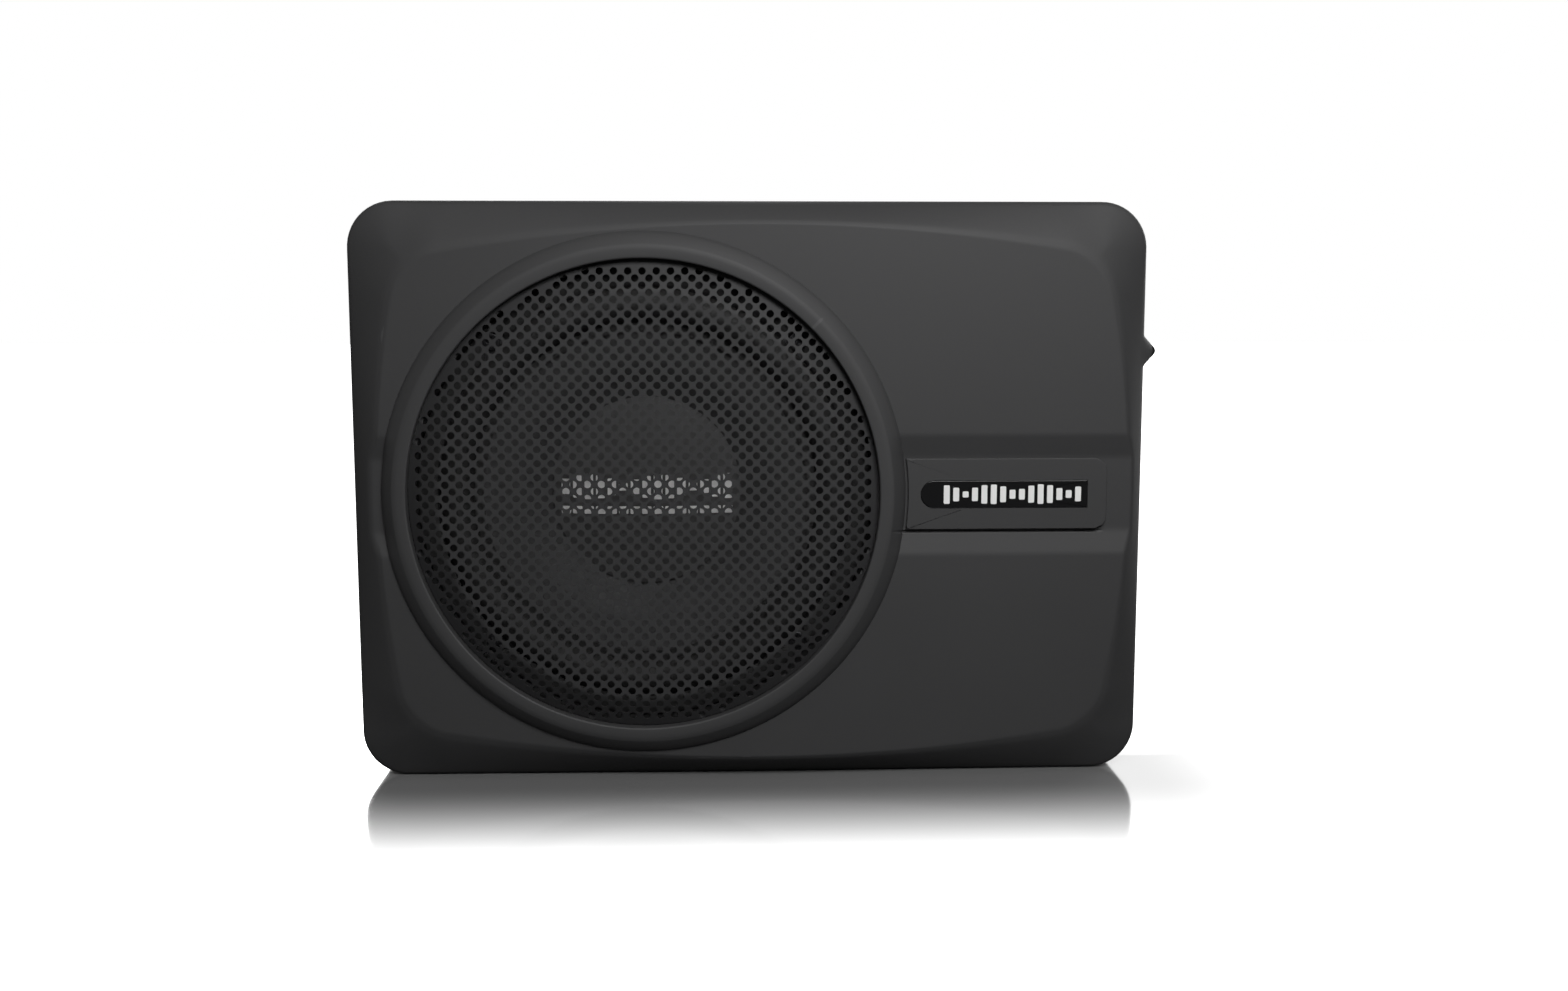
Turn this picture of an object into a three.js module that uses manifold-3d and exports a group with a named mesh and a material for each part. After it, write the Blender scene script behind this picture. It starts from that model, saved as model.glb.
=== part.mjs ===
// A powered under-seat car subwoofer: a die-cast housing with a shallow 8 inch driver on the left, its
// amplifier on the right, and the connectors and controls in a pocket of the right-hand wall.
//
// Every piece is drawn in cabinet coordinates, in millimetres: x to the right, y up from the middle of
// the height, and z from the plane of the rear feet towards the listener. The last lines turn the
// cabinet so that it stands on its long edge, with +Z up and its face looking along -Y.
import * as THREE from "three";
import { mergeVertices } from "three/addons/utils/BufferGeometryUtils.js";
import Module from "manifold-3d";

const wasm = await Module();
wasm.setup();

// Driving dimensions, all in millimetres.
const WIDTH = 345;
const HEIGHT = 252;
const DEPTH = 72;
const CORNER = 20;
const WALL = 3;
const GAP = 0.3; // between pieces that rest on each other
const RIM = 6.7; // rear edge of the housing's walls
const FACE = 64.5; // the raised face, at the middle of the height
const CROWN = 1.5; // how much lower the face is at its top and bottom edges
const CEILING = 59.5; // inside of the face

// The raised face ends on four long arcs, given by their distance in from the walls at mid-side.
const TOP_IN = 9.4;
const RIGHT_IN = 8.3;
const LEFT_IN = 11.6;
const TOP_ARC = 850;
const SIDE_ARC = 440;
const FACE_CORNER = 19; // how far its corners are rounded back along each arc
const SHOULDER_SLOPE = 0.82; // fall of the shoulder for each millimetre of its width
const SHOULDER_POWER = 1.4; // how full the shoulder's curve is

// The channel across the face and the plate that lies in it.
const CHANNEL = { halfFloor: 16, halfMouth: 26, floor: 62 };
const CARRIER = { right: 154.7, halfHeight: 15.7, top: 64.1, corner: 6 };
const BADGE = { left: 73.2, right: 146.4, halfHeight: 6.2, depth: 1.1 };

// The bezel round the grille, concentric with the driver.
const DRIVER_X = -46;
const BEZEL = { bore: 101.2, flat: 107, foot: 113, top: 68 };
const WELL = { bore: 99.3, outside: 104, ledgeBore: 87.5, ledge: 50, seat: 63.9 };
const GRILLE = { edge: 100.9, flange: 65.2, skirtOut: 99.6, skirtIn: 87, top: 71.4, sheet: 1 };

// The lug on the right-hand wall: its centre, its depth, how far it starts inside the wall and how far it reaches out.
const LUG = { y: 61.4, low: 38, high: 53, root: 2, flank: 3.6, reach: 6 };

// The connector pocket in the right-hand wall.
const PANEL = { low: -96, high: 48, back: 10, front: 42, outer: 167, thick: 2 };
const CONTROL_Z = 26; // centre of the knobs
const BOARD = { left: 70, right: 159.5, halfHeight: 104, back: 12, thick: 1.6 };
const BOARD_TOP = BOARD.back + BOARD.thick + GAP;

// Cone travel each way is 3 mm, and every clearance behind the driver allows for it.
const ROUND = 32; // sides of a large turned piece
const SMALL = 12; // sides of a small one
const HOLE = 8; // sides of a screw hole or post

const FINISH = {
  castBlack: { color: 0x2b2b2c, roughness: 0.55, metalness: 0.2 },
  sheetBlack: { color: 0x1d1d1e, roughness: 0.6, metalness: 0.3 },
  meshBlack: { color: 0x242425, roughness: 0.5, metalness: 0.4 },
  plasticBlack: { color: 0x161617, roughness: 0.5, metalness: 0 },
  glossBlack: { color: 0x0c0c0d, roughness: 0.2, metalness: 0 },
  rubber: { color: 0x141414, roughness: 0.85, metalness: 0 },
  conePaper: { color: 0x232324, roughness: 0.7, metalness: 0 },
  cloth: { color: 0xb08a4a, roughness: 0.9, metalness: 0 },
  steel: { color: 0x9a9ca0, roughness: 0.35, metalness: 1 },
  blackSteel: { color: 0x202022, roughness: 0.4, metalness: 0.8 },
  ferrite: { color: 0x303032, roughness: 0.7, metalness: 0.2 },
  copper: { color: 0xb5683c, roughness: 0.35, metalness: 1 },
  board: { color: 0x1f5a34, roughness: 0.5, metalness: 0 },
  aluminium: { color: 0xb9bbbe, roughness: 0.4, metalness: 1 },
  fuseBlue: { color: 0x2a6fd0, roughness: 0.25, metalness: 0 },
  ledRed: { color: 0xc02818, roughness: 0.2, metalness: 0 },
};

const cabinet = new THREE.Group();

/** Adds a named piece to the cabinet, in one of the finishes. */
function place(name, geometry, finish) {
  const mesh = new THREE.Mesh(geometry, new THREE.MeshStandardMaterial(FINISH[finish]));
  mesh.name = name;
  cabinet.add(mesh);
  return mesh;
}

// Solids and booleans.

/** A closed geometry as a manifold-3d solid. */
function solidOf(geometry) {
  const bare = new THREE.BufferGeometry();
  bare.setAttribute("position", geometry.getAttribute("position").clone());
  if (geometry.index) bare.setIndex(geometry.index.clone());
  const merged = mergeVertices(bare, 1e-4);
  const vertProperties = new Float32Array(merged.attributes.position.array);
  const triVerts = new Uint32Array(merged.index.array);
  return new wasm.Manifold(new wasm.Mesh({ numProp: 3, vertProperties, triVerts }));
}

/** A manifold-3d solid as a three.js geometry. */
function geometryOf(solid) {
  const mesh = solid.getMesh();
  const geometry = new THREE.BufferGeometry();
  geometry.setAttribute("position", new THREE.BufferAttribute(mesh.vertProperties, 3));
  geometry.setIndex(new THREE.BufferAttribute(mesh.triVerts, 1));
  geometry.computeVertexNormals();
  return geometry;
}

/** The first geometry with the others joined to it. */
function join(first, ...others) {
  return geometryOf(others.reduce((sum, g) => sum.add(solidOf(g)), solidOf(first)));
}

/** The first geometry with the others cut away. */
function cut(first, ...others) {
  return geometryOf(others.reduce((rest, g) => rest.subtract(solidOf(g)), solidOf(first)));
}

/** The part of the first geometry that lies inside the second. */
function within(first, second) {
  return geometryOf(solidOf(first).intersect(solidOf(second)));
}

/** A box between two corners. */
function box(x0, x1, y0, y1, z0, z1) {
  const shape = new THREE.BoxGeometry(x1 - x0, y1 - y0, z1 - z0);
  return shape.translate((x0 + x1) / 2, (y0 + y1) / 2, (z0 + z1) / 2);
}

/** A round bar along x, through (y, z). */
function barX(radius, x0, x1, y, z, sides = SMALL) {
  const bar = new THREE.CylinderGeometry(radius, radius, x1 - x0, sides);
  return bar.rotateZ(-Math.PI / 2).translate((x0 + x1) / 2, y, z);
}

/** A round bar along z, through (x, y). */
function barZ(radius, z0, z1, x, y, sides = SMALL) {
  const bar = new THREE.CylinderGeometry(radius, radius, z1 - z0, sides);
  return bar.rotateX(Math.PI / 2).translate(x, y, (z0 + z1) / 2);
}

/** A closed profile of [radius, z] points turned about the line along z through (x, y). */
function turned(profile, x = DRIVER_X, y = 0, sides = ROUND) {
  const points = profile.map(([r, z]) => new THREE.Vector2(r, z));
  if (profile[0][0] > 0) points.push(points[0].clone());
  return new THREE.LatheGeometry(points, sides).rotateX(Math.PI / 2).translate(x, y, 0);
}

/** A flat shape raised from z0 to z1. */
function slab(shape, z0, z1, curveSegments = 6) {
  const raised = new THREE.ExtrudeGeometry(shape, { depth: z1 - z0, bevelEnabled: false, curveSegments });
  return raised.translate(0, 0, z0);
}

/** A round cord of the given radius along a smooth line through the points. */
function cordThrough(points, radius, steps, sides = 8) {
  const path = new THREE.CatmullRomCurve3(points.map((p) => new THREE.Vector3(...p)));
  const section = new THREE.Shape();
  for (let i = 0; i < sides; i++) {
    const a = (2 * Math.PI * i) / sides;
    const go = i ? "lineTo" : "moveTo";
    section[go](radius * Math.cos(a), radius * Math.sin(a));
  }
  return new THREE.ExtrudeGeometry(section, { steps, extrudePath: path, bevelEnabled: false });
}

// The housing's outer form.

/** Points along a line, without its last one. */
function along(count, pointAt) {
  return Array.from({ length: count }, (_, i) => pointAt(i / count));
}

const SIDE_STEPS = 6;
const CORNER_STEPS = 5;

/** The rounded rectangle of the walls, set in by a distance, from its right side anticlockwise. */
function wallLoop(inset) {
  const radius = Math.max(CORNER - inset, 1);
  const a = WIDTH / 2 - inset;
  const b = HEIGHT / 2 - inset;
  const corners = [[a, b], [-a, b], [-a, -b], [a, -b]];
  const points = [];
  corners.forEach(([cx, cy], i) => {
    const centre = [cx - Math.sign(cx) * radius, cy - Math.sign(cy) * radius];
    const turn = (f) => {
      const angle = ((i + f) * Math.PI) / 2;
      return [centre[0] + radius * Math.cos(angle), centre[1] + radius * Math.sin(angle)];
    };
    const next = corners[(i + 1) % 4];
    const nextCentre = [next[0] - Math.sign(next[0]) * radius, next[1] - Math.sign(next[1]) * radius];
    const end = turn(1);
    const angle = ((i + 1) * Math.PI) / 2;
    const start = [nextCentre[0] + radius * Math.cos(angle), nextCentre[1] + radius * Math.sin(angle)];
    points.push(...along(CORNER_STEPS, turn));
    points.push(...along(SIDE_STEPS, (f) => [0, 1].map((k) => end[k] + f * (start[k] - end[k]))));
  });
  return points;
}

/** The edge of the raised face, set in by a distance, with the same count of points as wallLoop. */
function faceLoop(inset) {
  const top = (x) => HEIGHT / 2 - TOP_IN - inset - (x * x) / (2 * TOP_ARC);
  const right = (y) => WIDTH / 2 - RIGHT_IN - inset - (y * y) / (2 * SIDE_ARC);
  const left = (y) => -(WIDTH / 2 - LEFT_IN - inset - (y * y) / (2 * SIDE_ARC));
  // The corner where a side arc meets the top arc, by going back and forth between the two.
  const meet = (side) => {
    let [x, y] = [side(100), top(side(100))];
    for (let i = 0; i < 20; i++) [x, y] = [side(y), top(x)];
    return [x, y];
  };
  const [rx, ry] = meet(right);
  const [lx, ly] = meet(left);
  const c = FACE_CORNER;
  // Each corner runs from p to q with its own corner point as the middle of a quadratic curve.
  const corners = [
    { p: [right(ry - c), ry - c], m: [rx, ry], q: [rx - c, top(rx - c)] },
    { p: [lx + c, top(lx + c)], m: [lx, ly], q: [left(ly - c), ly - c] },
    { p: [left(ly - c), c - ly], m: [lx, -ly], q: [lx + c, -top(lx + c)] },
    { p: [rx - c, -top(rx - c)], m: [rx, -ry], q: [right(ry - c), c - ry] },
  ];
  const sides = [
    ([x0], [x1]) => (f) => [x0 + f * (x1 - x0), top(x0 + f * (x1 - x0))],
    ([, y0], [, y1]) => (f) => [left(y0 + f * (y1 - y0)), y0 + f * (y1 - y0)],
    ([x0], [x1]) => (f) => [x0 + f * (x1 - x0), -top(x0 + f * (x1 - x0))],
    ([, y0], [, y1]) => (f) => [right(y0 + f * (y1 - y0)), y0 + f * (y1 - y0)],
  ];
  const points = [];
  corners.forEach(({ p, m, q }, i) => {
    const bend = (f) =>
      [0, 1].map((k) => (1 - f) ** 2 * p[k] + 2 * f * (1 - f) * m[k] + f * f * q[k]);
    points.push(...along(CORNER_STEPS, bend));
    points.push(...along(SIDE_STEPS, sides[i](q, corners[(i + 1) % 4].p)));
  });
  return points;
}

/** Height of the raised face over a point. */
function faceHeight(y) {
  return FACE - CROWN * (y / (HEIGHT / 2 - TOP_IN)) ** 2;
}

/** Skins a stack of loops, each a list of [x, y, z] of the same length, with flat fans at both ends. */
function skinned(loops) {
  const count = loops[0].length;
  const centre = (loop) => [0, 1, 2].map((k) => loop.reduce((sum, p) => sum + p[k], 0) / count);
  const points = [...loops.flat(), centre(loops[0]), centre(loops.at(-1))];
  const faces = [];
  for (let i = 0; i < count; i++) {
    const j = (i + 1) % count;
    for (let k = 0; k + 1 < loops.length; k++) {
      const [a, b] = [k * count + i, k * count + j];
      faces.push(a, b, b + count, a, b + count, a + count);
    }
    const last = (loops.length - 1) * count;
    faces.push(points.length - 2, j, i, points.length - 1, last + i, last + j);
  }
  const geometry = new THREE.BufferGeometry();
  geometry.setAttribute("position", new THREE.Float32BufferAttribute(points.flat(), 3));
  geometry.setIndex(faces);
  return geometry;
}

/** The body bounded by walls and shoulders, its surface set in by a thickness. */
function bodyForm(inset, rear, ceiling) {
  const walls = wallLoop(inset);
  const edge = faceLoop(inset);
  const outerWalls = wallLoop(0);
  const outerEdge = faceLoop(0);
  const faceAt = (y) => Math.min(ceiling, faceHeight(y) - inset);
  const width = (i) => Math.hypot(outerWalls[i][0] - outerEdge[i][0], outerWalls[i][1] - outerEdge[i][1]);
  const foot = (i) => faceHeight(outerEdge[i][1]) - inset - SHOULDER_SLOPE * width(i);
  const shoulder = (t) =>
    walls.map(([x, y], i) => {
      const [ex, ey] = edge[i];
      const rise = 1 - (1 - t) ** SHOULDER_POWER;
      return [x + t * (ex - x), y + t * (ey - y), foot(i) + rise * (faceAt(ey) - foot(i))];
    });
  const inner = (f) => edge.map(([x, y]) => [f * x, f * y, faceAt(f * y)]);
  const rearLoop = walls.map(([x, y]) => [x, y, rear]);
  return skinned([rearLoop, ...[0, 0.3, 0.65, 1].map(shoulder), inner(0.6), inner(0.25)]);
}

/** A prism along x whose section is a list of [y, z] points, anticlockwise seen from +x. */
function prismX(section, x0, x1) {
  const shape = new THREE.Shape(section.map(([y, z]) => new THREE.Vector2(y, z)));
  const raised = new THREE.ExtrudeGeometry(shape, { depth: x1 - x0, bevelEnabled: false });
  // Turns (y, z, x) into (x, y, z).
  const cycle = new THREE.Matrix4().set(0, 0, 1, x0, 1, 0, 0, 0, 0, 1, 0, 0, 0, 0, 0, 1);
  return raised.applyMatrix4(cycle);
}

const COVER_SCREWS = [
  [-158, -111], [-60, -115], [60, -115], [158, -111],
  [158, 111], [60, 115], [-60, 115], [-158, 111],
];
const BOARD_POSTS = [[78, 94], [78, -94], [142, 94], [142, -94]];

/** The cast housing: face, shoulders, walls, bezel, driver well, posts and the connector pocket. */
function frontHousing() {
  const { halfFloor, halfMouth, floor } = CHANNEL;
  const rise = (FACE - floor) / (halfMouth - halfFloor);
  const over = 6;
  const mouth = [halfFloor + over / rise, floor + over];
  const channel = prismX(
    [[-halfFloor, floor], [halfFloor, floor], mouth, [-mouth[0], mouth[1]]],
    -WIDTH, WIDTH,
  );
  const bezel = turned([
    [90, CEILING - 1], [BEZEL.foot + 1, CEILING - 1], [BEZEL.foot + 0.8, floor - 0.5],
    [BEZEL.foot, FACE], [BEZEL.flat, BEZEL.top], [90, BEZEL.top],
  ]);
  const well = turned([
    [80, WELL.ledge - 4], [WELL.outside, WELL.ledge - 4], [WELL.outside, CEILING + 1], [80, CEILING + 1],
  ]);
  const bores = [
    turned([[0, WELL.seat], [BEZEL.bore, WELL.seat], [BEZEL.bore, DEPTH + 5], [0, DEPTH + 5]]),
    turned([[0, WELL.ledge], [WELL.bore, WELL.ledge], [WELL.bore, DEPTH + 4], [0, DEPTH + 4]]),
    turned([[0, 0], [WELL.ledgeBore, 0], [WELL.ledgeBore, DEPTH + 3], [0, DEPTH + 3]]),
  ];
  const posts = [
    ...COVER_SCREWS.map(([x, y]) => within(barZ(5, RIM, 62, x, y, HOLE), bodyForm(1.5, 0, CEILING + 1))),
    ...BOARD_POSTS.map(([x, y]) => barZ(4, BOARD_TOP, CEILING + 1, x, y, HOLE)),
  ];
  const screwHoles = COVER_SCREWS.map(([x, y]) => barZ(2.3, 0, 22, x, y, HOLE));
  const driverHoles = DRIVER_SCREWS.map(([x, y]) => barZ(2.3, WELL.ledge - 5, WELL.ledge + 1, x, y, HOLE));
  const frame = box(160, WIDTH / 2 - 1, PANEL.low - 4, PANEL.high + 4, RIM, PANEL.front + 5);
  const pocket = box(
    PANEL.outer - PANEL.thick - GAP, WIDTH, PANEL.low, PANEL.high, PANEL.back, PANEL.front,
  );
  const through = box(150, WIDTH, PANEL.low + 2.5, PANEL.high - 2.5, PANEL.back + 1.5, PANEL.front - 2);
  const outer = join(cut(bodyForm(0, RIM, FACE), channel), bezel);
  const shell = join(cut(outer, bodyForm(WALL, 0, CEILING)), well, frame, sideLug(), ...posts);
  return cut(shell, ...bores, ...screwHoles, ...driverHoles, pocket, through);
}

/** The rounded tooth on the right-hand wall, a lug for a strap or cable: 45 degree flanks and a round tip. */
function sideLug() {
  const { y, low, high, root, flank, reach } = LUG;
  const wall = WIDTH / 2;
  const tip = wall + 2 * reach - flank; // a quadratic curve reaches half way to its control point
  const lug = new THREE.Shape();
  lug.moveTo(wall - root, y - 2 - root - flank);
  lug.lineTo(wall + flank, y - 2);
  lug.quadraticCurveTo(tip, y, wall + flank, y + 2);
  lug.lineTo(wall - root, y + 2 + root + flank);
  lug.closePath();
  return slab(lug, low, high, 8);
}

const DRIVER_SCREW_R = 93.2;
const DRIVER_SCREWS = [45, 135, 225, 315].map((degrees) => {
  const angle = THREE.MathUtils.degToRad(degrees);
  return [DRIVER_X + DRIVER_SCREW_R * Math.cos(angle), DRIVER_SCREW_R * Math.sin(angle)];
});

/** A pan-head screw whose head bears on the plane z, and whose shank runs in the given direction. */
function screw(x, y, z, shank, into) {
  const head = { radius: 3.9, height: 2 };
  const section = [
    [0, -head.height], [head.radius - 1, -head.height], [head.radius, -head.height + 0.9],
    [head.radius, 0], [1.9, 0], [1.9, shank], [0, shank],
  ];
  const profile = section.map(([r, h]) => [r, z + into * h]);
  const body = turned(into > 0 ? profile : profile.reverse(), x, y, 10);
  const [low, high] = [z - into * (head.height + 1), z - into * (head.height - 1.1)].sort((a, b) => a - b);
  return cut(body, box(x - 2.2, x + 2.2, y - 0.45, y + 0.45, low, high),
    box(x - 0.45, x + 0.45, y - 2.2, y + 2.2, low, high));
}

// The enclosure.

const COVER = { back: 3.5, thick: 1.6 };

function enclosure() {
  place("front_housing", frontHousing(), "castBlack");
  const loop = (inset) => wallLoop(inset).map(([x, y]) => new THREE.Vector2(x, y));
  const holes = COVER_SCREWS.map(([x, y]) => barZ(2.3, 0, 10, x, y, HOLE));
  const plate = slab(new THREE.Shape(loop(0.8)), COVER.back, COVER.back + COVER.thick);
  place("rear_cover", cut(plate, ...holes), "sheetBlack");

  const seal = new THREE.Shape(loop(1.4));
  seal.holes.push(new THREE.Path(loop(7)));
  const sealBack = COVER.back + COVER.thick + GAP;
  place("cover_gasket", slab(seal, sealBack, RIM - GAP), "rubber");
  COVER_SCREWS.forEach(([x, y], i) => {
    place(`cover_screw_${i + 1}`, screw(x, y, COVER.back - GAP, 14, 1), "blackSteel");
  });
  [[-135, -92], [135, -92], [135, 92], [-135, 92]].forEach(([x, y], i) => {
    const pad = [[0, 0], [8.5, 0], [10, 1.2], [10, COVER.back - GAP], [0, COVER.back - GAP]];
    place(`rubber_foot_${i + 1}`, turned(pad, x, y, 16), "rubber");
  });
}

// The front trim.

/** The outline of the plate in the channel, its left end following the bezel. */
function carrierShape() {
  const { right, halfHeight, corner } = CARRIER;
  const radius = BEZEL.foot + 1.6;
  const start = Math.asin(halfHeight / radius);
  const shape = new THREE.Shape();
  shape.absarc(DRIVER_X, 0, radius, start, -start, true);
  shape.lineTo(right - corner, -halfHeight);
  shape.absarc(right - corner, -halfHeight + corner, corner, -Math.PI / 2, 0, false);
  shape.absarc(right - corner, halfHeight - corner, corner, 0, Math.PI / 2, false);
  shape.closePath();
  return shape;
}

/** The badge's outline: round at the left and square at the right. */
function badgeShape(inset) {
  const { left, right, halfHeight } = BADGE;
  const radius = halfHeight - inset;
  const shape = new THREE.Shape();
  shape.moveTo(right - inset, -radius);
  shape.lineTo(right - inset, radius);
  shape.absarc(left + halfHeight, 0, radius, Math.PI / 2, (3 * Math.PI) / 2, false);
  shape.closePath();
  return shape;
}

function frontTrim() {
  const { edge, flange, skirtOut, skirtIn, top, sheet } = GRILLE;
  const upper = [
    [edge, flange - 0.2], [skirtOut, flange + 0.2], [skirtIn, top], [skirtIn * 0.6, top + 0.42], [0, DEPTH],
  ];
  const lower = upper.map(([r, z]) => [r, z - sheet]).reverse();
  place("grille", turned([...lower, ...upper]), "meshBlack");

  const carrier = slab(carrierShape(), CHANNEL.floor + GAP, CARRIER.top, 8);
  const recess = slab(badgeShape(0), CARRIER.top - BADGE.depth, DEPTH, 8);
  place("badge_carrier", cut(carrier, recess), "castBlack");
  const badgeBack = CARRIER.top - BADGE.depth + GAP;
  place("badge_plate", slab(badgeShape(GAP), badgeBack, CARRIER.top - 0.2, 8), "glossBlack");
}

// The driver.

/** The basket's holes between its six arms. */
function basketWindows() {
  return [0, 60, 120, 180, 240, 300].map((degrees) => {
    const hole = box(60, 81.5, -22, 22, 20, 49);
    return hole.rotateZ(THREE.MathUtils.degToRad(degrees)).translate(DRIVER_X, 0, 0);
  });
}

function driver() {
  const basket = turned([
    [44, 26.6], [57, 26.6], [58.5, 29.4], [67, 29.4], [85, 48.6], [86.5, 50.3], [98.5, 50.3],
    [98.5, 52.3], [84, 52.3], [66, 31], [56.5, 31], [55, 28.2], [44, 28.2],
  ]);
  const bolts = DRIVER_SCREWS.map(([x, y]) => barZ(2.3, 45, 60, x, y, HOLE));
  place("driver_frame", cut(basket, ...basketWindows(), ...bolts), "blackSteel");
  const clear = DRIVER_SCREWS.map(([x, y]) => barZ(4.6, 45, 60, x, y, HOLE));
  const ring = turned([[90, 53.9], [98.5, 53.9], [98.5, 55.4], [90, 55.4]]);
  place("frame_gasket", cut(ring, ...clear), "rubber");
  DRIVER_SCREWS.forEach(([x, y], i) => {
    place(`driver_screw_${i + 1}`, screw(x, y, 52.6, 6, -1), "blackSteel");
  });

  // A half roll of rubber between two flat lips.
  const roll = { centre: 82, radius: 7, z: 52.6, sheet: 1 };
  const arc = (radius, count, back) =>
    Array.from({ length: count + 1 }, (_, i) => {
      const angle = (Math.PI * (back ? count - i : i)) / count;
      return [roll.centre + radius * Math.cos(angle), roll.z + 0.5 + radius * Math.sin(angle)];
    });
  const lip = turned([
    [70.5, roll.z], ...arc(roll.radius - 0.5, 5, true).map(([r, z], i) => [r, i % 5 ? z : roll.z]),
    [98.5, roll.z], [98.5, roll.z + roll.sheet],
    ...arc(roll.radius + 0.5, 5, false).map(([r, z], i) => [r, i % 5 ? z : roll.z + roll.sheet]),
    [70.5, roll.z + roll.sheet],
  ]);
  place("surround", cut(lip, ...clear), "rubber");

  place("cone", turned([
    [25.8, 34.2], [43.5, 41.1], [55.5, 48.3], [71.3, 51.1], [75, 51.1],
    [75, 52.3], [71, 52.3], [55, 49.5], [43, 42.3], [25.8, 35.6],
  ]), "conePaper");
  place("dust_cap", turned([
    [0, 46.4], [14, 46], [28, 44.7], [41.5, 42.1], [41.5, 43.1], [28, 45.7], [14, 47], [0, 47.4],
  ]), "conePaper");
  place("spider", turned([
    [27.2, 30.7], [31, 30.7], [36, 29.6], [42, 31.7], [48, 29.6], [54, 31.3], [64, 31.3],
    [64, 32.1], [53.4, 32.1], [48, 30.4], [42, 32.5], [36, 30.4], [31, 31.5], [27.2, 31.5],
  ]), "cloth");
  place("voice_coil_former", turned([[24.9, 14.8], [25.5, 14.8], [25.5, 37.5], [24.9, 37.5]]), "aluminium");
  place("voice_coil", turned([[25.8, 15], [26.8, 15], [26.8, 26], [25.8, 26]]), "copper");
  place("top_plate", turned([[27.6, 20.4], [56, 20.4], [56, 26.3], [27.6, 26.3]]), "steel");
  place("magnet", turned([[31, 9.4], [62, 9.4], [62, 20.1], [31, 20.1]]), "ferrite");
  place("yoke", turned([[5, 5.6], [56, 5.6], [56, 9.1], [24.2, 9.1], [24.2, 26.3], [5, 26.3]]), "steel");

  const [tx, tz] = [DRIVER_X + 84, 34];
  const tags = [-6, 6].map((y) => box(tx + 1, tx + 9, y - 1.6, y + 1.6, tz + 4, tz + 5));
  place("terminal_strip", join(box(tx, tx + 1.8, -12, 12, tz, tz + 13), ...tags), "plasticBlack");
  [-6, 6].forEach((y, i) => {
    const lead = [
      [tx - 0.4, y, 39], [tx - 8, y, 36], [tx - 20, y, 36], [tx - 30, y, 40], [DRIVER_X + 47, y, 42.2],
    ];
    place(`tinsel_lead_${i + 1}`, cordThrough(lead, 0.8, 8), "copper");
  });
}

// The amplifier.

function amplifier() {
  const { left, right, halfHeight, back, thick } = BOARD;
  place("circuit_board", box(left, right, -halfHeight, halfHeight, back, back + thick), "board");
  place("heat_spreader", box(72, 136, 113, HEIGHT / 2 - WALL - GAP, 15, 40), "aluminium");
  [92, 122].forEach((x, i) => {
    const body = box(x - 5, x + 5, 108.2, 113 - GAP, 22, 37);
    const legs = join(box(x - 3.4, x + 3.4, 109.6, 110.4, BOARD_TOP + 1, 22.5),
      box(x - 3.4, x + 3.4, 100, 110.4, BOARD_TOP, BOARD_TOP + 1.1));
    place(`power_transistor_${i + 1}`, join(body, legs), "plasticBlack");
  });
  const core = new THREE.TorusGeometry(15, 6, 8, 16).translate(105, 50, BOARD_TOP + 6.1);
  place("toroid_choke", core, "copper");
  [92, 114].forEach((x, i) => {
    place(`capacitor_${i + 1}`, barZ(9, BOARD_TOP, 44, x, 10, 16), "plasticBlack");
  });
  const wire = [[76, -8, BOARD_TOP + 2.2], [70, -7, 22], [60, -6, 32], [52, -2, 35.5], [41.5, 0, 34.2]];
  place("speaker_harness", cordThrough(wire, 2, 10), "rubber");
}

// The connector panel, with its openings listed beside the pieces that fill them.

const ROW = {
  led: 41, remote: 31, gain: 15, lowpass: 1, boost: -13, phase: -25, rca: -38, highLevel: -54,
  power: -72.5, fuse: -88.4,
};
const SOCKETS = {
  remote_jack: { y: ROW.remote, width: 13, low: BOARD_TOP, high: 27.5, wallY: 1.6, wallZ: 2.6, deep: 12 },
  high_level_socket: {
    y: ROW.highLevel, width: 14, low: BOARD_TOP, high: 26.5, wallY: 1.4, wallZ: 1.4, deep: 12,
  },
  power_socket: { y: ROW.power, width: 19, low: BOARD_TOP, high: 27.5, wallY: 1.6, wallZ: 1.6, deep: 13 },
};
const SOCKET_FACE = PANEL.outer + 1.5;
const FUSE = { width: 5.2, low: 16.4, high: 35.6 };

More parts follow.
